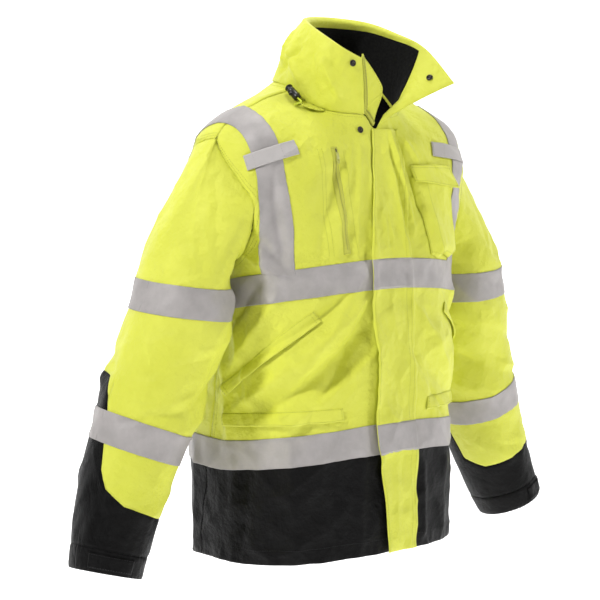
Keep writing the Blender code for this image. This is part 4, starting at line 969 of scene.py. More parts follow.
for word, side in SIDES:
    start = forearm_start(ARM_RING)
    upper = np.linspace(0, 1, 150)[None, :] * start
    lower = start + np.linspace(0, 1, 76)[None, :] * (CUFF_BAND - start)
    band = CUFF_BAND + np.linspace(0, 1, 22)[None, :] * (1 - CUFF_BAND) + 0 * start
    arm_cloth(f"sleeve_{word}", side, upper, YELLOW, "yellow_shell", tuck=0.004)
    arm_cloth(f"forearm_{word}", side, lower, BLACK, "black_shell")
    arm_cloth(f"cuff_band_{word}", side, band, BLACK, "black_shell", lift=0.0004)

# %% [markdown]
# Two rings of tape and a cuff tab go on each sleeve. A ring is cut square to the arm, so for
# each roll the reach is found where the arm's own axis has the right distance.

# %% Tapes and tabs of the sleeves
SLEEVE_TAPES = (0.380, 0.713)
CUFF_TAB = 0.978


def reach_where(side, roll, axis, value):
    """The reach at which axis . point comes to a value on each line of roll, by halving."""
    low, high = np.full(np.shape(roll), 0.2), np.full(np.shape(roll), 1.0)
    for _ in range(24):
        middle = (low + high) / 2
        short = ARMS[side](roll, middle) @ axis < value
        low, high = np.where(short, middle, low), np.where(short, high, middle)
    return (low + high) / 2


for word, side in SIDES:
    few = np.linspace(0, 2 * math.pi, 21)[:-1]
    for number, reach in enumerate(SLEEVE_TAPES, 1):
        below = ARMS[side](few, few * 0 + reach + 0.05).mean(0)
        above = ARMS[side](few, few * 0 + reach - 0.05).mean(0)
        axis = unit(below - above)
        levels = (below + above) @ axis / 2 + ACROSS * HALF
        roll = np.broadcast_to(ARM_RING, (len(ARM_RING), len(levels)))
        reaches = np.stack([reach_where(side, ARM_RING[:, 0], axis, value) for value in levels], 1)
        points = arm(side, roll, reaches, tape_lift(ARMS[side](roll, reaches)))
        name = f"sleeve_tape_{word}_{number}"
        lay_tape(f"reflective_{name}", points, arm_normals(side, roll, reaches), name, True)
    roll = np.radians(np.linspace(25, 95, 40))[:, None]
    reach = CUFF_TAB + np.linspace(-1, 1, 12)[None, :] * 0.0150 + 0 * roll
    roll = roll + 0 * reach
    points = arm(side, roll, reach, 0.0026 + 0.0004 * rumple(roll * 12, reach * 90, side + 4))
    out = arm_normals(side, roll, reach)
    points = points - out * edge_dip(points, 0.0008, 0.0015)[..., None]
    cloth(f"cuff_tab_cloth_{word}", points, out, BLACK, "black_shell", [f"cuff_tab_{word}"])
    sew(points, out, "black_thread", rows=(1, -2), lift=0.0003)
print("sleeve cuts:", {k: v[:2] for k, v in CUTS.items() if "sleeve" in k or "forearm" in k})

# %% [markdown]
# ## The collar with its rolled hood
# The hood is rolled up inside the collar, so the collar is a padded ring: its outer face, a
# rounded rim and its inner face are one closed loop, carried from the right edge round the
# back to the left lapel. The roll shows as soft bulges and as creases that pull to the seam.

# %% Collar
# along, up, to along, up, half width, depth; along and up in metres of the collar
COLLAR_LENGTH = 0.66
COLLAR_HEIGHT = 0.11
COLLAR_FOLDS = (
    (0.045, 0.010, 0.120, 0.085, 0.009, 0.0035), (0.110, 0.015, 0.150, 0.080, 0.008, -0.0035),
    (0.150, 0.020, 0.215, 0.060, 0.008, 0.0045), (0.185, 0.070, 0.215, 0.010, 0.007, -0.0045),
    (0.215, 0.030, 0.250, 0.095, 0.009, 0.0040), (0.250, 0.010, 0.330, 0.030, 0.008, -0.0040),
    (0.270, 0.045, 0.350, 0.080, 0.010, 0.0035), (0.360, 0.015, 0.420, 0.060, 0.009, -0.0035),
    (0.400, 0.080, 0.470, 0.050, 0.010, 0.0030), (0.440, 0.010, 0.480, 0.070, 0.009, -0.0030),
    (0.060, 0.075, 0.160, 0.088, 0.007, -0.0020), (0.020, 0.030, 0.050, 0.100, 0.012, -0.0016),
)


def collar_creases(along, up):
    """Listed creases + rumples, calm at both free edges."""
    a, b = along * COLLAR_LENGTH, up * COLLAR_HEIGHT
    calm = np.clip((along - 0.02) / 0.10, 0.08, 1) * np.clip((0.88 - along) / 0.12, 0.1, 1)
    height = 2.2 * folds_at(COLLAR_FOLDS, a, b, 1.6) * calm
    height = height + 0.0032 * calm * rumple(a / 0.034, b / 0.050, 11)
    height = height + 0.0020 * calm * (crest(rumple((a + b) / 0.028, (a - b) / 0.050, 13)) - 0.25)
    return height + 0.0011 * calm * rumple(a / 0.014, b / 0.018, 12)


def collar_face(along, up, depth, lift=0.0):
    """A point between the outer face (depth 0) and the inner face (depth 1), moved outwards."""
    along, up = paired(along, up)
    out = normals(collar, np.clip(along, STEP, 1 - STEP), np.clip(up, STEP, 1 - STEP), -1)
    thick = collar_thickness(along) * (0.35 + 0.65 * np.clip(up / 0.3, 0, 1))
    point = collar(along, up) - out * (thick * depth)[..., None]
    crease = collar_creases(along, up) * np.sin(np.clip(up, 0, 1) * math.pi) ** 0.6
    crease = np.maximum(crease, -0.5 * thick)
    return point + out * (crease * (1 - 0.9 * depth) + lift * (1 - 2 * depth))[..., None], out


def padded_ring(alongs, ups, rim):
    """Outer rows, a half round of rim rows and inner rows, closed into a loop at the seam."""
    outer, ahead = collar_face(alongs[:, None], ups[None, :], 0.0)
    inner, behind = collar_face(alongs[:, None], ups[None, ::-1], 1.0)
    top, out = collar_face(alongs, np.ones(len(alongs)), 0.5)
    thick = collar_thickness(alongs)
    rise = unit(collar(alongs, np.ones(len(alongs))) - collar(alongs, np.full(len(alongs), 0.97)))
    turn = np.linspace(0, math.pi, rim)[None, 1:-1, None]
    crown = (top[:, None] + out[:, None] * np.cos(turn) * thick[:, None, None] / 2
             + rise[:, None] * np.sin(turn) * thick[:, None, None] * 0.30)
    points = np.concatenate([outer, crown, inner, outer[:, :1]], 1)
    facing = np.concatenate([ahead, out[:, None] * np.cos(turn) + rise[:, None] * np.sin(turn),
                             -behind, ahead[:, :1]], 1)
    for end in (0, -1):
        points[end] = (points[end] + points[end][::-1]) / 2
    return points, facing


ALONGS = np.linspace(0, 1, 241)
UPS = np.linspace(-0.045, 0.985, 36)   # its foot goes down into the neck seam
ring, ring_out = padded_ring(ALONGS, UPS, 12)
collar_mesh = mesh_from_grid("padded_collar", ring, ring_out, round_about=True)
padded_collar = place("padded_collar", collar_mesh, YELLOW, "yellow_shell", ["collar"])
print("collar ring:", ring.shape[:2], "points")

# %% [markdown]
# The collar's inner face is lined with short fleece, down to the neck seam and up to a little
# below the rim. Behind the neck the body's own lining goes on downwards.

# %% Fleece and lining
up = np.linspace(0, 0.93, 44)[None, :]
along = 1 / 28 + (23 / 28 + 0.075 * (1 - up)) * np.linspace(0, 1, 180)[:, None]
points, out = collar_face(along, up, 1.0, 0.0022)
nap = 0.0005 * rumple(along * 90, up * 16, 15) - edge_dip(points, 0.0006, 0.003)
points = points - out * nap[..., None]
cloth("collar_fleece_cloth", points, -out, FLEECE, "black_fleece", ["collar_fleece"], 0.0018)

lined = RISES[RISES > 0.780]
turn = panel_turns(lined, 118, 0)[20:-20]
rise = np.broadcast_to(lined, turn.shape)
points = skin(turn, rise, -0.0024)
cloth("neck_lining_cloth", points, -normals(body, turn, rise), LINING, "black_lining",
      ["neck_lining"], 0.0008)

# %% [markdown]
# ## The storm flap
# A double strip of shell covers the front zip. It is sewn down on the wearer's left and free
# on the right, where it springs off the body more and more towards the hem. Its own two pieces
# of tape line up with the rings.

# %% Storm flap
OVER_TAPE = 0.0018
FLAP_THICK = 0.0020
FLAP_RIGHT, FLAP_LEFT, FLAP_TOP = -0.046, 0.050, -0.070
FLAP_SLANTS = ((-0.280, 0.165), (-0.600, -0.155))
FLAP_STITCHES = (2, 34, 38)


def flap_lift(x, z):
    """Free ^ 1.5 x (2 mm + 11 mm x low ^ 2), over what lies under it, + waves of its edge."""
    free = np.clip((0.015 - x) / (0.015 - FLAP_RIGHT), 0, 1)
    low = np.clip(-z / 0.8, 0, 1)
    wave = 0.0013 * free * rumple(z / 0.050, 0.4, 21) + 0.0006 * rumple(z / 0.022, x / 0.03, 22)
    return OVER_TAPE + free ** 1.5 * (0.002 + 0.011 * low ** 2) + wave * np.clip(low * 4, 0, 1)


def flap_grid(columns, rows, low, high):
    """Turn and rise of a grid between the flap's edges; low and high give its end rises."""
    share = np.linspace(0, 1, columns)[:, None]
    turn = np.radians(-13 + 27 * share) + np.zeros((1, rows))
    for _ in range(8):
        first, last = low(turn[:, :1]), high(turn[:, -1:])
        rise = first + (last - first) * np.linspace(0, 1, rows)[None, :]
        point = body(turn, rise)
        x, z = point[..., 0], point[..., 2]
        edge = np.full(z.shape, FLAP_RIGHT)
        for height, slope in FLAP_SLANTS:
            edge = np.maximum(edge, FLAP_RIGHT + slope * (z - height))
        by_turn = (body(turn + STEP, rise)[..., 0] - x) / STEP
        turn = turn + (edge + (FLAP_LEFT - edge) * share - x) / by_turn
    return turn, rise


def flap_cloth(name, turn, rise, extra, material, slot, nodes, **options):
    """Cloth on the flap's own surface."""
    point = body(turn, rise)
    out = normals(body, turn, rise)
    lift = flap_lift(point[..., 0], point[..., 2]) + extra
    flat = skin(turn, rise, lift)
    flat = flat - out * edge_dip(flat, 0.0008, 0.0016)[..., None]
    cloth(name, flat, out, material, slot, nodes, **options)
    return flat, out


turn, rise = flap_grid(42, 250, lambda turn: 0 * turn, lambda turn: rise_where(turn, UP, FLAP_TOP))
flap, flap_out = flap_cloth("storm_flap_cloth", turn, rise, FLAP_THICK, YELLOW, "yellow_shell",
                            ["storm_flap"], thick=FLAP_THICK, held="hung")
sew(flap, flap_out, "yellow_thread", columns=FLAP_STITCHES, across=WHOLE)
for name, band in (("chest", CHEST_TAPE), ("lower", LOWER_TAPE)):
    turn, rise = flap_grid(42, 12, lambda turn: rise_where(turn, UP, level(band, turn) - HALF),
                           lambda turn: rise_where(turn, UP, level(band, turn) + HALF))
    points, out = flap_cloth(f"reflective_flap_tape_{name}", turn, rise, FLAP_THICK + 0.0008, TAPE,
                             "reflective_tape", [f"flap_tape_{name}"], thick=0.0005)
    sew(points, out, "grey_thread", columns=FLAP_STITCHES, rows=(1, -2), across=WHOLE)
print("storm flap:", CUTS["storm_flap_cloth"])

# %% [markdown]
# ## Straight pieces: tabs, welts, flaps and the chest zip
# These are strips cut straight and laid between two places of the body. Newton's method puts
# each of their points on the body, first along the strip and then across it.

# %% Strips
def place_at(turn, height):
    """A point of the body and its normal, at a turn in degrees and a height."""
    turn = np.radians(np.array([float(turn)]))
    rise = rise_where(turn, UP, height)
    return body(turn, rise)[0], normals(body, turn, rise)[0]


def strip(side, t1, z1, t2, z2, width, columns, rows):
    """Turn and rise of a strip between two places, its last row on the upper side."""
    first, last = place_at(side * t1, z1)[0], place_at(side * t2, z2)[0]
    normal = place_at(side * (t1 + t2) / 2, (z1 + z2) / 2)[1]
    along = unit(last - first)
    across = unit(np.cross(along, normal)) * -side
    run = np.linspace(0, 1, columns)[:, None]
    off = np.linspace(-0.5, 0.5, rows)[None, :] * width
    target = first + (last - first) * run[..., None] + across * off[..., None]
    turn = np.radians(side * (t1 + (t2 - t1) * run)) + 0 * off
    rise = rise_where(turn, UP, z1 + (z2 - z1) * run + 0 * off)
    return locate(turn, rise, (along, target @ along), (across, target @ across))


def lay_strip(name, place, size, lift, material, slot, nodes, thick):
    """Cloth on a strip's grid; lift is worked out from shares along and across it."""
    turn, rise = strip(*place, *size)
    run = np.linspace(0, 1, size[1])[:, None]
    off = np.linspace(0, 1, size[2])[None, :]
    out = normals(body, turn, rise)
    points = skin(turn, rise, lift(run, off))
    points = points - out * edge_dip(points, 0.0006, 0.0014)[..., None]
    cloth(name, points, out, material, slot, nodes, thick)
    return points, out


# %% Microphone tabs
MIC_TABS = (("right", (-1, 59.5, -0.100, 74.5, -0.126)), ("left", (1, 50.0, -0.103, 69.0, -0.117)))
for word, spot in MIC_TABS:
    points, out = lay_strip(
        f"microphone_tab_{word}", spot, (TAB_WIDTH, 44, 16),
        lambda run, off: OVER_TAPE + 0.0012 + 0.0022 * np.sin(math.pi * run) ** 0.7 + 0 * off,
        WEBBING, "webbing", [f"mic_tab_{word}"], thick=0.0011)
    sew(points, out, "grey_thread", columns=(1, 13, -2), rows=(1, -2), along=slice(14))
    sew(points, out, "grey_thread", columns=(-8,))

# %% [markdown]
# A welt and a flap are both sewn along one long edge and free along the other. Their free
# edge stands a few millimetres off the body, and its shadow is what shows the pocket.

# %% Welts and lower pocket flaps
HAND_POCKET = (44, -0.377, 87, -0.508)
LOWER_FLAPS = (("right", (-1, 32, -0.542, 87, -0.556)), ("left", (1, 24, -0.539, 80, -0.558)))


def free_below(stand, top):
    """Lift from the sewn upper edge to the free lower edge: stand x (1 - off ^ 2), wavy."""
    def lift(run, off):
        wave = 0.0007 * rumple(run * 9 + top, off * 1.5, 31)
        return 0.0010 + (stand + wave) * (1 - off ** 2) * np.sin(math.pi * np.clip(
            run * 0.94 + 0.03, 0, 1)) ** 0.25
    return lift


for word, side in SIDES:
    points, out = lay_strip(f"hand_pocket_welt_cloth_{word}", (side, *HAND_POCKET),
                            (0.021, 110, 16), free_below(0.0060, side), YELLOW, "yellow_shell",
                            [f"hand_pocket_welt_{word}"], thick=0.0022)
    sew(points, out, "yellow_thread", columns=(1, 4, -2, -5), rows=(-2,))
for word, spot in LOWER_FLAPS:
    points, out = lay_strip(f"lower_pocket_flap_cloth_{word}", spot, (0.022, 130, 18),
                            free_below(0.0060, spot[0] + 3), YELLOW, "yellow_shell",
                            [f"lower_pocket_flap_{word}"], thick=0.0020)
    sew(points, out, "yellow_thread", columns=(2, -3), rows=(-2, 2))

# %% [markdown]
# ## Teeth
# A zip's coil is a row of small rods across the tape. They are made like the stitches, with
# their length across the path instead of along it.

# %% Chest zip
TEETH = []
TOOTH_LIFT = 0.0004


def tooth_row(points, out, pitch=0.0021, half=0.0019, radius=0.00075):
    """Rods across a path, one at each pitch: half is half a rod's length."""
    run = path_run(points)
    at = (np.arange(int(run[-1] / pitch)) + 0.5) * pitch
    middle, up, along = path_at(points, out, run, at)
    aside = unit(np.cross(up, along))
    TEETH.append(np.stack([middle - aside * half, middle + aside * half, middle + up * radius,
                           middle + along * radius, middle - up * radius * 0.5,
                           middle - along * radius], 1))


CHEST_ZIP = (-1, 42.8, -0.100, 29.8, -0.277)
points, out = lay_strip("chest_zip_tape", CHEST_ZIP, (0.014, 90, 13),
                        lambda run, off: 0.0010 + 0.0012 * (1 - (2 * off - 1) ** 2) ** 2 + 0 * run,
                        ZIP_TAPE_CLOTH, "yellow_shell", ["chest_zip"], thick=0.0008)
sew(points, out, "yellow_thread", columns=(1, -2), rows=(1, -2))
tooth_row(points[2:-3, 6] + out[2:-3, 6] * TOOTH_LIFT, out[2:-3, 6])
# distance beside the zip, line of the strip's grid, its first point with a stitch
for beside, line, start in ((0.026, -1, 0), (0.034, -1, 0), (0.020, 0, 4)):
    turn, rise = strip(*CHEST_ZIP, 2 * beside, 90, 3)
    stitch_body(turn[start:, line], rise[start:, line])

# %% [markdown]
# The slider is a rounded wedge with a bridge. Its pull tab is a plate with a slot, and it
# swings on the slider, so it rides on a body of its own.

# %% Slider and pull tab
SLIDER_SIZE = (0.0075, 0.0095, 0.0030)
PULL_SIZE = (0.0060, 0.0200, 0.0014)
spot, slider_out = place_at(-41.4, -0.106)
slider_up = place_at(-CHEST_ZIP[1], CHEST_ZIP[2])[0] - place_at(-CHEST_ZIP[3], CHEST_ZIP[4])[0]
slider_up = unit(slider_up - slider_out * (slider_up @ slider_out))
slider_side = np.cross(slider_up, slider_out)
slider_back = spot + slider_out * (SEAM + TRIM + SEAM)
SLIDER_AXES = np.stack([slider_side, slider_up, slider_out])


def oval(count, half_x, half_y, power=4.0):
    """A squarish oval: (cos, sin) / (|cos| ^ n + |sin| ^ n) ^ (1 / n) x half sizes."""
    angle = np.linspace(0, 2 * math.pi, count + 1)
    c, s = np.cos(angle), np.sin(angle)
    length = (np.abs(c) ** power + np.abs(s) ** power) ** (-1 / power)
    return np.stack([c * length * half_x, s * length * half_y], -1)


def stacked(rings):
    """A closed solid from (oval, height) rings; the first and last shrink to a point."""
    rows = [np.concatenate([np.broadcast_to(r.mean(0), r.shape), np.full((len(r), 1), h)], 1)
            for r, h in (rings[0], rings[-1])]
    body_rows = [np.concatenate([r, np.full((len(r), 1), h)], 1) for r, h in rings]
    return np.stack([rows[0], *body_rows, rows[1]], 1)


def wedge(points, taper):
    """Narrow a solid towards its lower end: x times 1 - taper x share down."""
    points = points.copy()
    y = points[..., 1]
    points[..., 0] *= 1 - taper * np.clip((y.max() - y) / (y.max() - y.min()), 0, 1)
    return points


def hard_piece(name, grids, material, slot, nodes, body_name=JACKET):
    """One mesh from several closed grids of points, its faces turned outwards."""
    work = bmesh.new()
    for grid in grids:
        part = mesh_from_grid(name + "_part", grid, unit(grid - grid.mean((0, 1))))
        work.from_mesh(part)
        bpy.data.meshes.remove(part)
    bmesh.ops.remove_doubles(work, verts=work.verts, dist=WELD)
    bmesh.ops.dissolve_degenerate(work, edges=work.edges, dist=0.000001)
    bmesh.ops.recalc_face_normals(work, faces=work.faces)
    mesh = bpy.data.meshes.new(name)
    work.to_mesh(mesh)
    work.free()
    mesh.shade_smooth()
    mesh.set_sharp_from_angle(angle=math.radians(50))
    return place(name, mesh, material, slot, nodes, body_name)


wide, high, deep = SLIDER_SIZE
plate = wedge(stacked([(oval(28, wide / 2, high / 2), 0.0), (oval(28, wide / 2, high / 2), deep * 0.3),
                       (oval(28, wide * 0.42, high * 0.46), deep * 0.45),
                       (oval(28, wide * 0.34, high * 0.40), deep * 0.5)]), 0.30)
bridge = stacked([(oval(20, 0.0013, high * 0.36), deep * 0.4), (oval(20, 0.0013, high * 0.34),
                  deep * 0.75), (oval(20, 0.0009, high * 0.22), deep)])
hard_piece("slider_body", [slider_back + grid @ SLIDER_AXES for grid in (plate, bridge)], DARK_METAL,
           "zip_coil", ["chest_zip_slider"])

half = PULL_SIZE[2] / 2
hinge = (slider_back + slider_out * (deep + SEAM + half) - slider_up * (high / 2 - 0.0012))
rim = oval(36, PULL_SIZE[0] / 2, PULL_SIZE[1] / 2, 3.2)
slot_hole = oval(36, PULL_SIZE[0] * 0.24, PULL_SIZE[1] * 0.13, 2.4) + np.array([0, -0.0045])
tab = np.stack([np.concatenate([ring, np.full((37, 1), h)], 1) for ring, h in (
    (rim * 0.94, half), (rim, half * 0.4), (rim, -half * 0.4), (rim * 0.94, -half),
    (slot_hole, -half), (slot_hole, half), (rim * 0.94, half))], 1)
tab[..., 1] += half - PULL_SIZE[1] / 2
lean = np.array(Matrix.Rotation(math.radians(6), 3, Vector(slider_side)))
hard_piece("pull_tab_plate", [hinge + (tab @ SLIDER_AXES) @ lean.T], COIL, "zip_coil",
           ["chest_zip_pull"], "pull_tab")

# %% [markdown]
# ## The radio pocket
# A pocket with bellows on the left front: its inner side slopes up from the body over two
# centimetres, the other sides are steep, and its lower edge zigzags where the bellows fold.
# A flap comes down over its mouth.

# %% Radio pocket and flap
RADIO_POCKET = (0.069, 0.160, -0.24, -0.151, -0.284, -0.03)
RADIO_FLAP = (0.066, 0.163, -0.24, -0.131, -0.150, -0.13)
RADIO_DEEP = 0.010


def radio_grid(left, right, slant, top, bottom, slope, columns, rows, zigzag=0.0):
    """x = left + share x width + slant x (z - top); z from the sloping bottom to the top."""
    across = np.linspace(0, 1, columns)[:, None]
    up = np.linspace(0, 1, rows)[None, :]
    ripple = zigzag * (np.abs(((across * 2.2 + 0.1) % 1) * 2 - 1) * 2 - 1) * np.clip(1 - up * 6, 0, 1)
    z = top + 0 * across * up
    for _ in range(6):
        x = left + (right - left) * across + slant * (z - top)
        low = bottom + slope * x
        z = low + (top - low) * up + ripple
    return (*on_front(x, z), across, up)


def radio_cloth(name, grid, lift, nodes, thick):
    """Cloth of the radio pocket from its grid of places."""
    turn, rise = grid[:2]
    out = normals(body, turn, rise)
    points = skin(turn, rise, lift)
    cloth(name, points, out, YELLOW, "yellow_shell", nodes, thick=thick)
    return points, out


grid = radio_grid(*RADIO_POCKET, 64, 84, 0.0045)
across, up = grid[2:]
ramp = np.clip(across / 0.26, 0, 1) * np.clip((1 - across) / 0.07, 0, 1) ** 0.7
ramp = ramp * np.clip(up / 0.045, 0, 1) ** 0.7
sag = 0.0016 * rumple(across * 3, up * 5, 41) + 0.0014 * np.exp(-((up - 0.12) / 0.12) ** 2)
pocket, out = radio_cloth("radio_pocket_cloth", grid, 0.0022 + ramp * (RADIO_DEEP - 0.002 + sag),
                          ["radio_pocket"], 0.0016)
sew(pocket, out, "yellow_thread", columns=(1, 17, -6), rows=(4,))
grid = radio_grid(*RADIO_FLAP, 60, 26)
across, up = grid[2:]
ramp = 0.35 + 0.65 * np.clip(across / 0.2, 0, 1)
lift = OVER_TAPE + 0.0022 + (1 - up) ** 0.6 * ramp * (RADIO_DEEP + 0.0010) + 0.0008 * rumple(
    across * 4, up * 2, 42)
flap, out = radio_cloth("radio_pocket_flap_cloth", grid, lift, ["radio_pocket_flap"], 0.0020)
sew(flap, out, "yellow_thread", columns=(2, -3), rows=(2, -2, -5))
print("radio pocket:", CUTS["radio_pocket_cloth"], "flap:", CUTS["radio_pocket_flap_cloth"])

# %% [markdown]
# ## Zips of the front and the collar
# The long zip runs under the storm flap. Above the neck seam its right half stands along the
# collar's edge, and a guard of shell stands behind it towards the open neck.

# %% Front zip, collar zip and guard
edge = math.radians(FRONT_EDGE)
turn = np.linspace(-edge, edge, 9)[:, None]
rise = np.linspace(0, 1, 200)[None, :]
turn, rise = np.broadcast_arrays(turn, rise)
out = normals(body, turn, rise)
points = skin(turn, rise, -0.0006)
cloth("front_zip_tape", points, out, ZIP_TAPE_CLOTH, "zip_coil", ["front_zip"], thick=0.0010,
      held="hung")
tooth_row(points[4], out[4], 0.0026, 0.0026, 0.0010)

GUARD_EDGE = np.array(((-0.033, -0.137, 0.056), (-0.009, -0.134, 0.034), (0.017, -0.130, 0.006),
                       (0.019, -0.129, -0.008), (0.011, -0.128, -0.034), (0.003, -0.128, -0.058)))
GUARD_TURN, GUARD_GAP, ZIP_TAPE = 0.62, 0.0013, 0.0095
share = np.linspace(0, 1, 70)
stand = np.clip(1 - share / GUARD_TURN, 0, 1)
low = np.clip((share - GUARD_TURN) / (1 - GUARD_TURN), 0, 1)
first = math.radians(COLLAR[0][0])
turn = first + (-edge - first) * low
seam = body(turn, 1 + 0 * turn) + np.array([0, 0, CLOTH])
sewn = np.where((low > 0)[:, None], seam, collar(0 * stand, stand))
free = smooth(np.linspace(0, 1, len(GUARD_EDGE)), GUARD_EDGE, share)
across = free - sewn
width = np.linalg.norm(across, axis=1)[:, None]
across = across / width
down = np.gradient(sewn, axis=0) + np.gradient(free, axis=0)
front = np.cross(across, down)
front = -unit(front) * np.sign(front[:, 1:2])
for name, steps, reach, behind, material, slot, node_name, thick in (
        ("collar_zip_tape", 7, np.minimum(width, ZIP_TAPE), -CLOTH, ZIP_TAPE_CLOTH, "zip_coil",
         "collar_zip", 0.0008),
        ("zip_guard_cloth", 26, width, -CLOTH - TRIM - 2 * SEAM, YELLOW, "yellow_shell",
         "zip_guard", 0.0012)):
    spread = np.linspace(0, 1, steps)[None, :, None]
    grid = (sewn + across * GUARD_GAP)[:, None] + (across * (reach - GUARD_GAP))[:, None] * spread
    grid = grid + front[:, None] * (behind + TRIM)
    if steps > 10:
        sway = 0.0016 * rumple(share[:, None] * 5, spread[..., 0] * 1.5, 51) * spread[..., 0]
        grid = grid + front[:, None] * sway[..., None]
    ahead = np.broadcast_to(front[:, None], grid.shape)
    cloth(name, grid, ahead, material, slot, [node_name], thick=thick, held="hung")
    if steps < 10:
        tooth_row(grid[2:-2, -2] + ahead[2:-2, -2] * TOOTH_LIFT, ahead[2:-2, -2], 0.0024, 0.0022,
                  0.0008)
    sew(grid, ahead, "yellow_thread", rows=(1 if steps < 10 else -3,), along=slice(2, -2),
        lift=HIGH_STITCH_LIFT)

# %% Lip of the hood pouch
POUCH_LIP = np.array(((-72, 0.018), (-69, 0.028), (-64, 0.025), (-58, 0.016), (-53, 0.006)))
turn = np.linspace(-72, -53, 50)[:, None]
width = np.interp(turn, POUCH_LIP[:, 0], POUCH_LIP[:, 1])
down = np.linspace(0, 1, 16)[None, :]
rise = 0.994 - width * down
turn = np.radians(turn) + 0 * rise
out = normals(body, turn, rise)
points = skin(turn, rise, 2 * TRIM + 0.006 * down ** 2 * width / 0.028
              + 0.0006 * rumple(turn * 60, down * 2, 61) * down)
cloth("pouch_lip_cloth", points, out, YELLOW, "yellow_shell", ["hood_pouch_lip"], thick=0.0010)
sew(points, out, "yellow_thread", rows=(-3,), along=slice(1, -1), lift=HIGH_STITCH_LIFT)

# %% [markdown]
# ## Snaps and cord lock
# Both are turned pieces: a profile of radius and height, carried round an axis. A stud has a
# knob in its middle, a socket has a hole. The lock is a moulded barrel with a flared button.

# %% Turned pieces
STUD = ((0.0, 0.0), (0.0052, 0.0), (0.0057, 0.0005), (0.0057, 0.0012), (0.0052, 0.0018),
        (0.0044, 0.0019), (0.0037, 0.0013), (0.0030, 0.0011), (0.0026, 0.0016), (0.0024, 0.0024),
        (0.0018, 0.0027), (0.0, 0.0028))
SOCKET = ((0.0, 0.0), (0.0052, 0.0), (0.0057, 0.0005), (0.0057, 0.0014), (0.0051, 0.0022),
          (0.0041, 0.0025), (0.0034, 0.0021), (0.0030, 0.0012), (0.0026, 0.0007), (0.0, 0.0006))
LOCK = ((0.0, 0.0), (0.0056, 0.0), (0.0068, 0.0006), (0.0070, 0.0014), (0.0058, 0.0026),
        (0.0046, 0.0058), (0.0045, 0.0076), (0.0060, 0.0081), (0.0066, 0.0092), (0.0066, 0.0128),
        (0.0061, 0.0134), (0.0061, 0.0150), (0.0066, 0.0156), (0.0067, 0.0260), (0.0066, 0.0318),
        (0.0060, 0.0328), (0.0026, 0.0330), (0.0024, 0.0322), (0.0, 0.0322))


def turned(profile, place, axis, sides=40):
    """Radius x (cos, sin) round the axis at each height of the profile."""
    profile = np.array(profile)
    axis = unit(np.asarray(axis, float))
    across = unit(np.cross(axis, UP + 0.01))
    angle = np.linspace(0, 2 * math.pi, sides + 1)[:, None, None]
    ring = np.cos(angle) * across + np.sin(angle) * np.cross(axis, across)
    return np.asarray(place) + ring * profile[None, :, :1] + axis * profile[None, :, 1:]


spot, out = place_at(-20.7, -0.071)
lift = float(body_creases(np.radians(np.array([-20.7])), np.array([-0.071]))[0])
hard_piece("stud_front", [turned(STUD, spot + out * (SEAM + max(lift, 0)), out)], DARK_METAL,
           "dark_metal", ["snap_front"])
for name, along, up, side, profile in (("stud_collar", 0.050, 0.83, 1, STUD),
                                       ("socket_lapel", 0.955, 0.80, -1, SOCKET)):
    along, up = np.array([along]), np.array([up])
    out = normals(collar, along, up, -1)[0] * side
    lift = 2 * SEAM if side > 0 else collar_thickness(along)[0] + 0.0004
    hard_piece(name, [turned(profile, collar(along, up)[0] + out * lift, out)], DARK_METAL,
               "dark_metal", ["snap_collar" if side > 0 else "snap_lapel"])

lock_place, lock_normal = place_at(-81.0, -0.017)
lock_axis = unit(np.array([-0.090, -0.831, -0.549]))
lock_start = lock_place + lock_normal * 0.0105 - lock_axis * 0.0165
button_axis = unit(np.cross(lock_axis, lock_normal))
BUTTON = ((0.0, -0.0098), (0.0020, -0.0098), (0.0026, -0.0090), (0.0026, 0.0090), (0.0020, 0.0098),
          (0.0, 0.0098))
hard_piece("cord_lock_barrel", [turned(LOCK, lock_start, lock_axis),
                                turned(BUTTON, lock_start + lock_axis * 0.0205, button_axis, 24)],
           PLASTIC, "black_plastic", ["cord_lock"])

# %% [markdown]
# ## The drawcord
# A thin braided cord leaves the lock, turns back in a small loop and slips under the lip of
# the hood pouch. A curve with a round bevel keeps its width exact.

# %% Drawcord
CORD = 0.0030
CORD_ENDS = np.array(((-73.5, 0.963), (-73.6, 0.975)))
cord_start = lock_start + lock_axis * (0.0330 + SEAM)
lip = body(np.radians(CORD_ENDS[:, 0]), CORD_ENDS[:, 1])
cord_lift = lock_normal * (CORD / 2 + TRIM)
knots = np.array([cord_start, cord_start + lock_axis * 0.012, lip[0] + cord_lift * 1.5,
                  lip[1] + cord_lift])
route = smooth(np.arange(4), knots, np.linspace(0, 3, 25))
cord_curve = bpy.data.curves.new("hood_drawcord", "CURVE")
cord_curve.dimensions = "3D"
cord_curve.bevel_depth = CORD / 2
cord_curve.bevel_resolution = 4
cord_curve.use_fill_caps = True
spline = cord_curve.splines.new("POLY")
spline.points.add(len(route) - 1)
spline.points.foreach_set("co", np.concatenate([route, np.ones((len(route), 1))], 1).ravel())
drawcord = place("hood_drawcord", cord_curve, CORD_CLOTH, "yellow_cord", ["drawcord"])

# %% Teeth of all zips
def place_needles(name, rows, material, slot):
    """Join rows of needle shapes in one mesh, by numbering their faces."""
    corners = np.concatenate(rows)
    faces = (np.arange(len(corners))[:, None, None] * 6 + DIAMOND[None]).reshape(-1, 3)
    mesh = bpy.data.meshes.new(name)
    mesh.from_pydata(corners.reshape(-1, 3).tolist(), [], faces.tolist())
    mesh.shade_smooth()
    place(name, mesh, material, slot)
    print(name, len(corners))


place_needles("zip_teeth", TEETH, COIL, "zip_coil")

# %% [markdown]
# ## Seams of the shell
# Two rows of topstitching run beside each long seam, on the side towards which its allowance
# is pressed: in front of the side seams, above the hem seam and round each armhole.

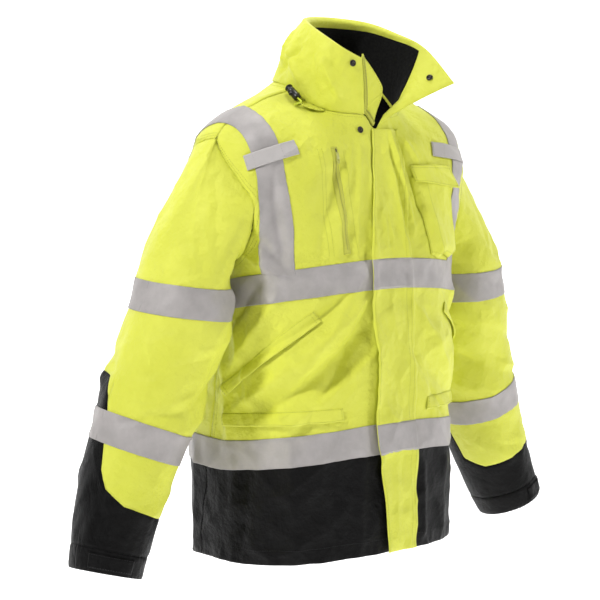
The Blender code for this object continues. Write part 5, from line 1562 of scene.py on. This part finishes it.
# %% Topstitching of the shell
def thread_at(rise):
    """Yellow thread on the yellow shell and black thread on the dark hem."""
    return "yellow_thread" if rise > HEM_SEAM else "black_thread"


for low, high in ((0.004, HEM_SEAM - 0.008), (HEM_SEAM + 0.008, ARM_LOW - 0.012)):
    rises = np.linspace(low, high, 200)
    for side in (-1, 1):
        for ahead in (1.1, 2.9):
            stitch_body(side * (side_turn(rises, True) - math.radians(ahead)), rises,
                        thread=thread_at(low))
round_body = np.linspace(math.radians(2.5), math.radians(357.5), 700)
for above in (0.006, 0.014):
    stitch_body(round_body, HEM_SEAM + above)
stitch_body(round_body, 0.034, thread="black_thread")
stitch_body(np.linspace(math.radians(-16), math.radians(-344), 300), 0.988)

ARMHOLE_MIDDLE = (ARM_LOW + ARM_TOP) / 2
around = np.linspace(0, 2 * math.pi, 260)
for side in (-1, 1):
    turn, rise = armhole(around, side)
    for wider, higher in ((1.10, 1.045), (1.19, 1.085)):
        stitch_body(side * math.radians(ARM_TURN) + (turn - side * math.radians(ARM_TURN)) * wider,
                    ARMHOLE_MIDDLE + (rise - ARMHOLE_MIDDLE) * higher)
print("threads so far:", {name: sum(map(len, rows)) for name, rows in THREADS.items()})

# %% [markdown]
# ## All the threads
# The stitches of one colour become one mesh. They were kept as corner points until now, so
# joining them is only a matter of numbering their faces.

# %% Threads
THREAD_FINISH = {"yellow_thread": (THREAD, "yellow_cord"), "black_thread": (BLACK_THREAD,
                 "black_shell"), "grey_thread": (GREY_THREAD, "webbing")}
for name, rows in THREADS.items():
    place_needles(name, rows, *THREAD_FINISH[name])

# %% [markdown]
# ## Studio
# A sheet of pale paper runs under the jacket and curves up behind it. Three broad lamps and a
# white sky light it evenly, as in a catalogue.

# %% Floor and lights
SWEEP_PROFILE = np.array(((-9, -2.2), (-3, -2.2), (2.0, -2.2), (3.0, -2.12), (3.7, -1.8),
                          (4.2, -1.1), (4.4, 0.2), (4.4, 5.0)))
AWAY = -np.array(BACK.to_2d().normalized())
ASIDE = np.array([AWAY[1], -AWAY[0]])
floor_points = np.array([(*(AWAY * along + ASIDE * across), height)
                         for along, height in SWEEP_PROFILE for across in (-9, 9)])
floor_mesh = bpy.data.meshes.new("floor")
floor_mesh.from_pydata(floor_points.tolist(), [], [(2 * k, 2 * k + 1, 2 * k + 3, 2 * k + 2)
                                                   for k in range(len(SWEEP_PROFILE) - 1)])
floor_mesh.shade_smooth()
floor = bpy.data.objects.new("floor", floor_mesh)
bpy.context.scene.collection.objects.link(floor)
PAPER, _, paper_shader = base_material("paper", (0.90, 0.90, 0.90), 0.9)
paper_shader.inputs["Emission Color"].default_value = (1, 1, 1, 1)
paper_shader.inputs["Emission Strength"].default_value = 0.85
floor_mesh.materials.append(PAPER)
floor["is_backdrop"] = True


def lamp(name, place, size, power):
    """A square area light that looks at the jacket's middle."""
    data = bpy.data.lights.new(name, "AREA")
    data.size = size
    data.energy = power
    made = bpy.data.objects.new(name, data)
    made.location = place
    made.rotation_mode = "QUATERNION"
    made.rotation_quaternion = (AIM - Vector(place)).to_track_quat("-Z", "Y")
    bpy.context.scene.collection.objects.link(made)


lamp("key", (-2.9, -0.2, 2.2), 0.5, 96)
lamp("fill", (2.3, -2.6, 1.0), 0.8, 50)
lamp("top", (0.3, 0.3, 2.8), 0.8, 38)
sky = bpy.data.worlds.new("studio")
sky.use_nodes = True
sky.node_tree.nodes["Background"].inputs["Color"].default_value = (1, 1, 1, 1)
sky.node_tree.nodes["Background"].inputs["Strength"].default_value = 0.16
bpy.context.scene.world = sky
# fluorescent yellow and true black both need colours that are shown as they are
bpy.context.scene.view_settings.view_transform = "Standard"

# %% Sizes and finish
low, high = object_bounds()
print("cuts:", CUTS)
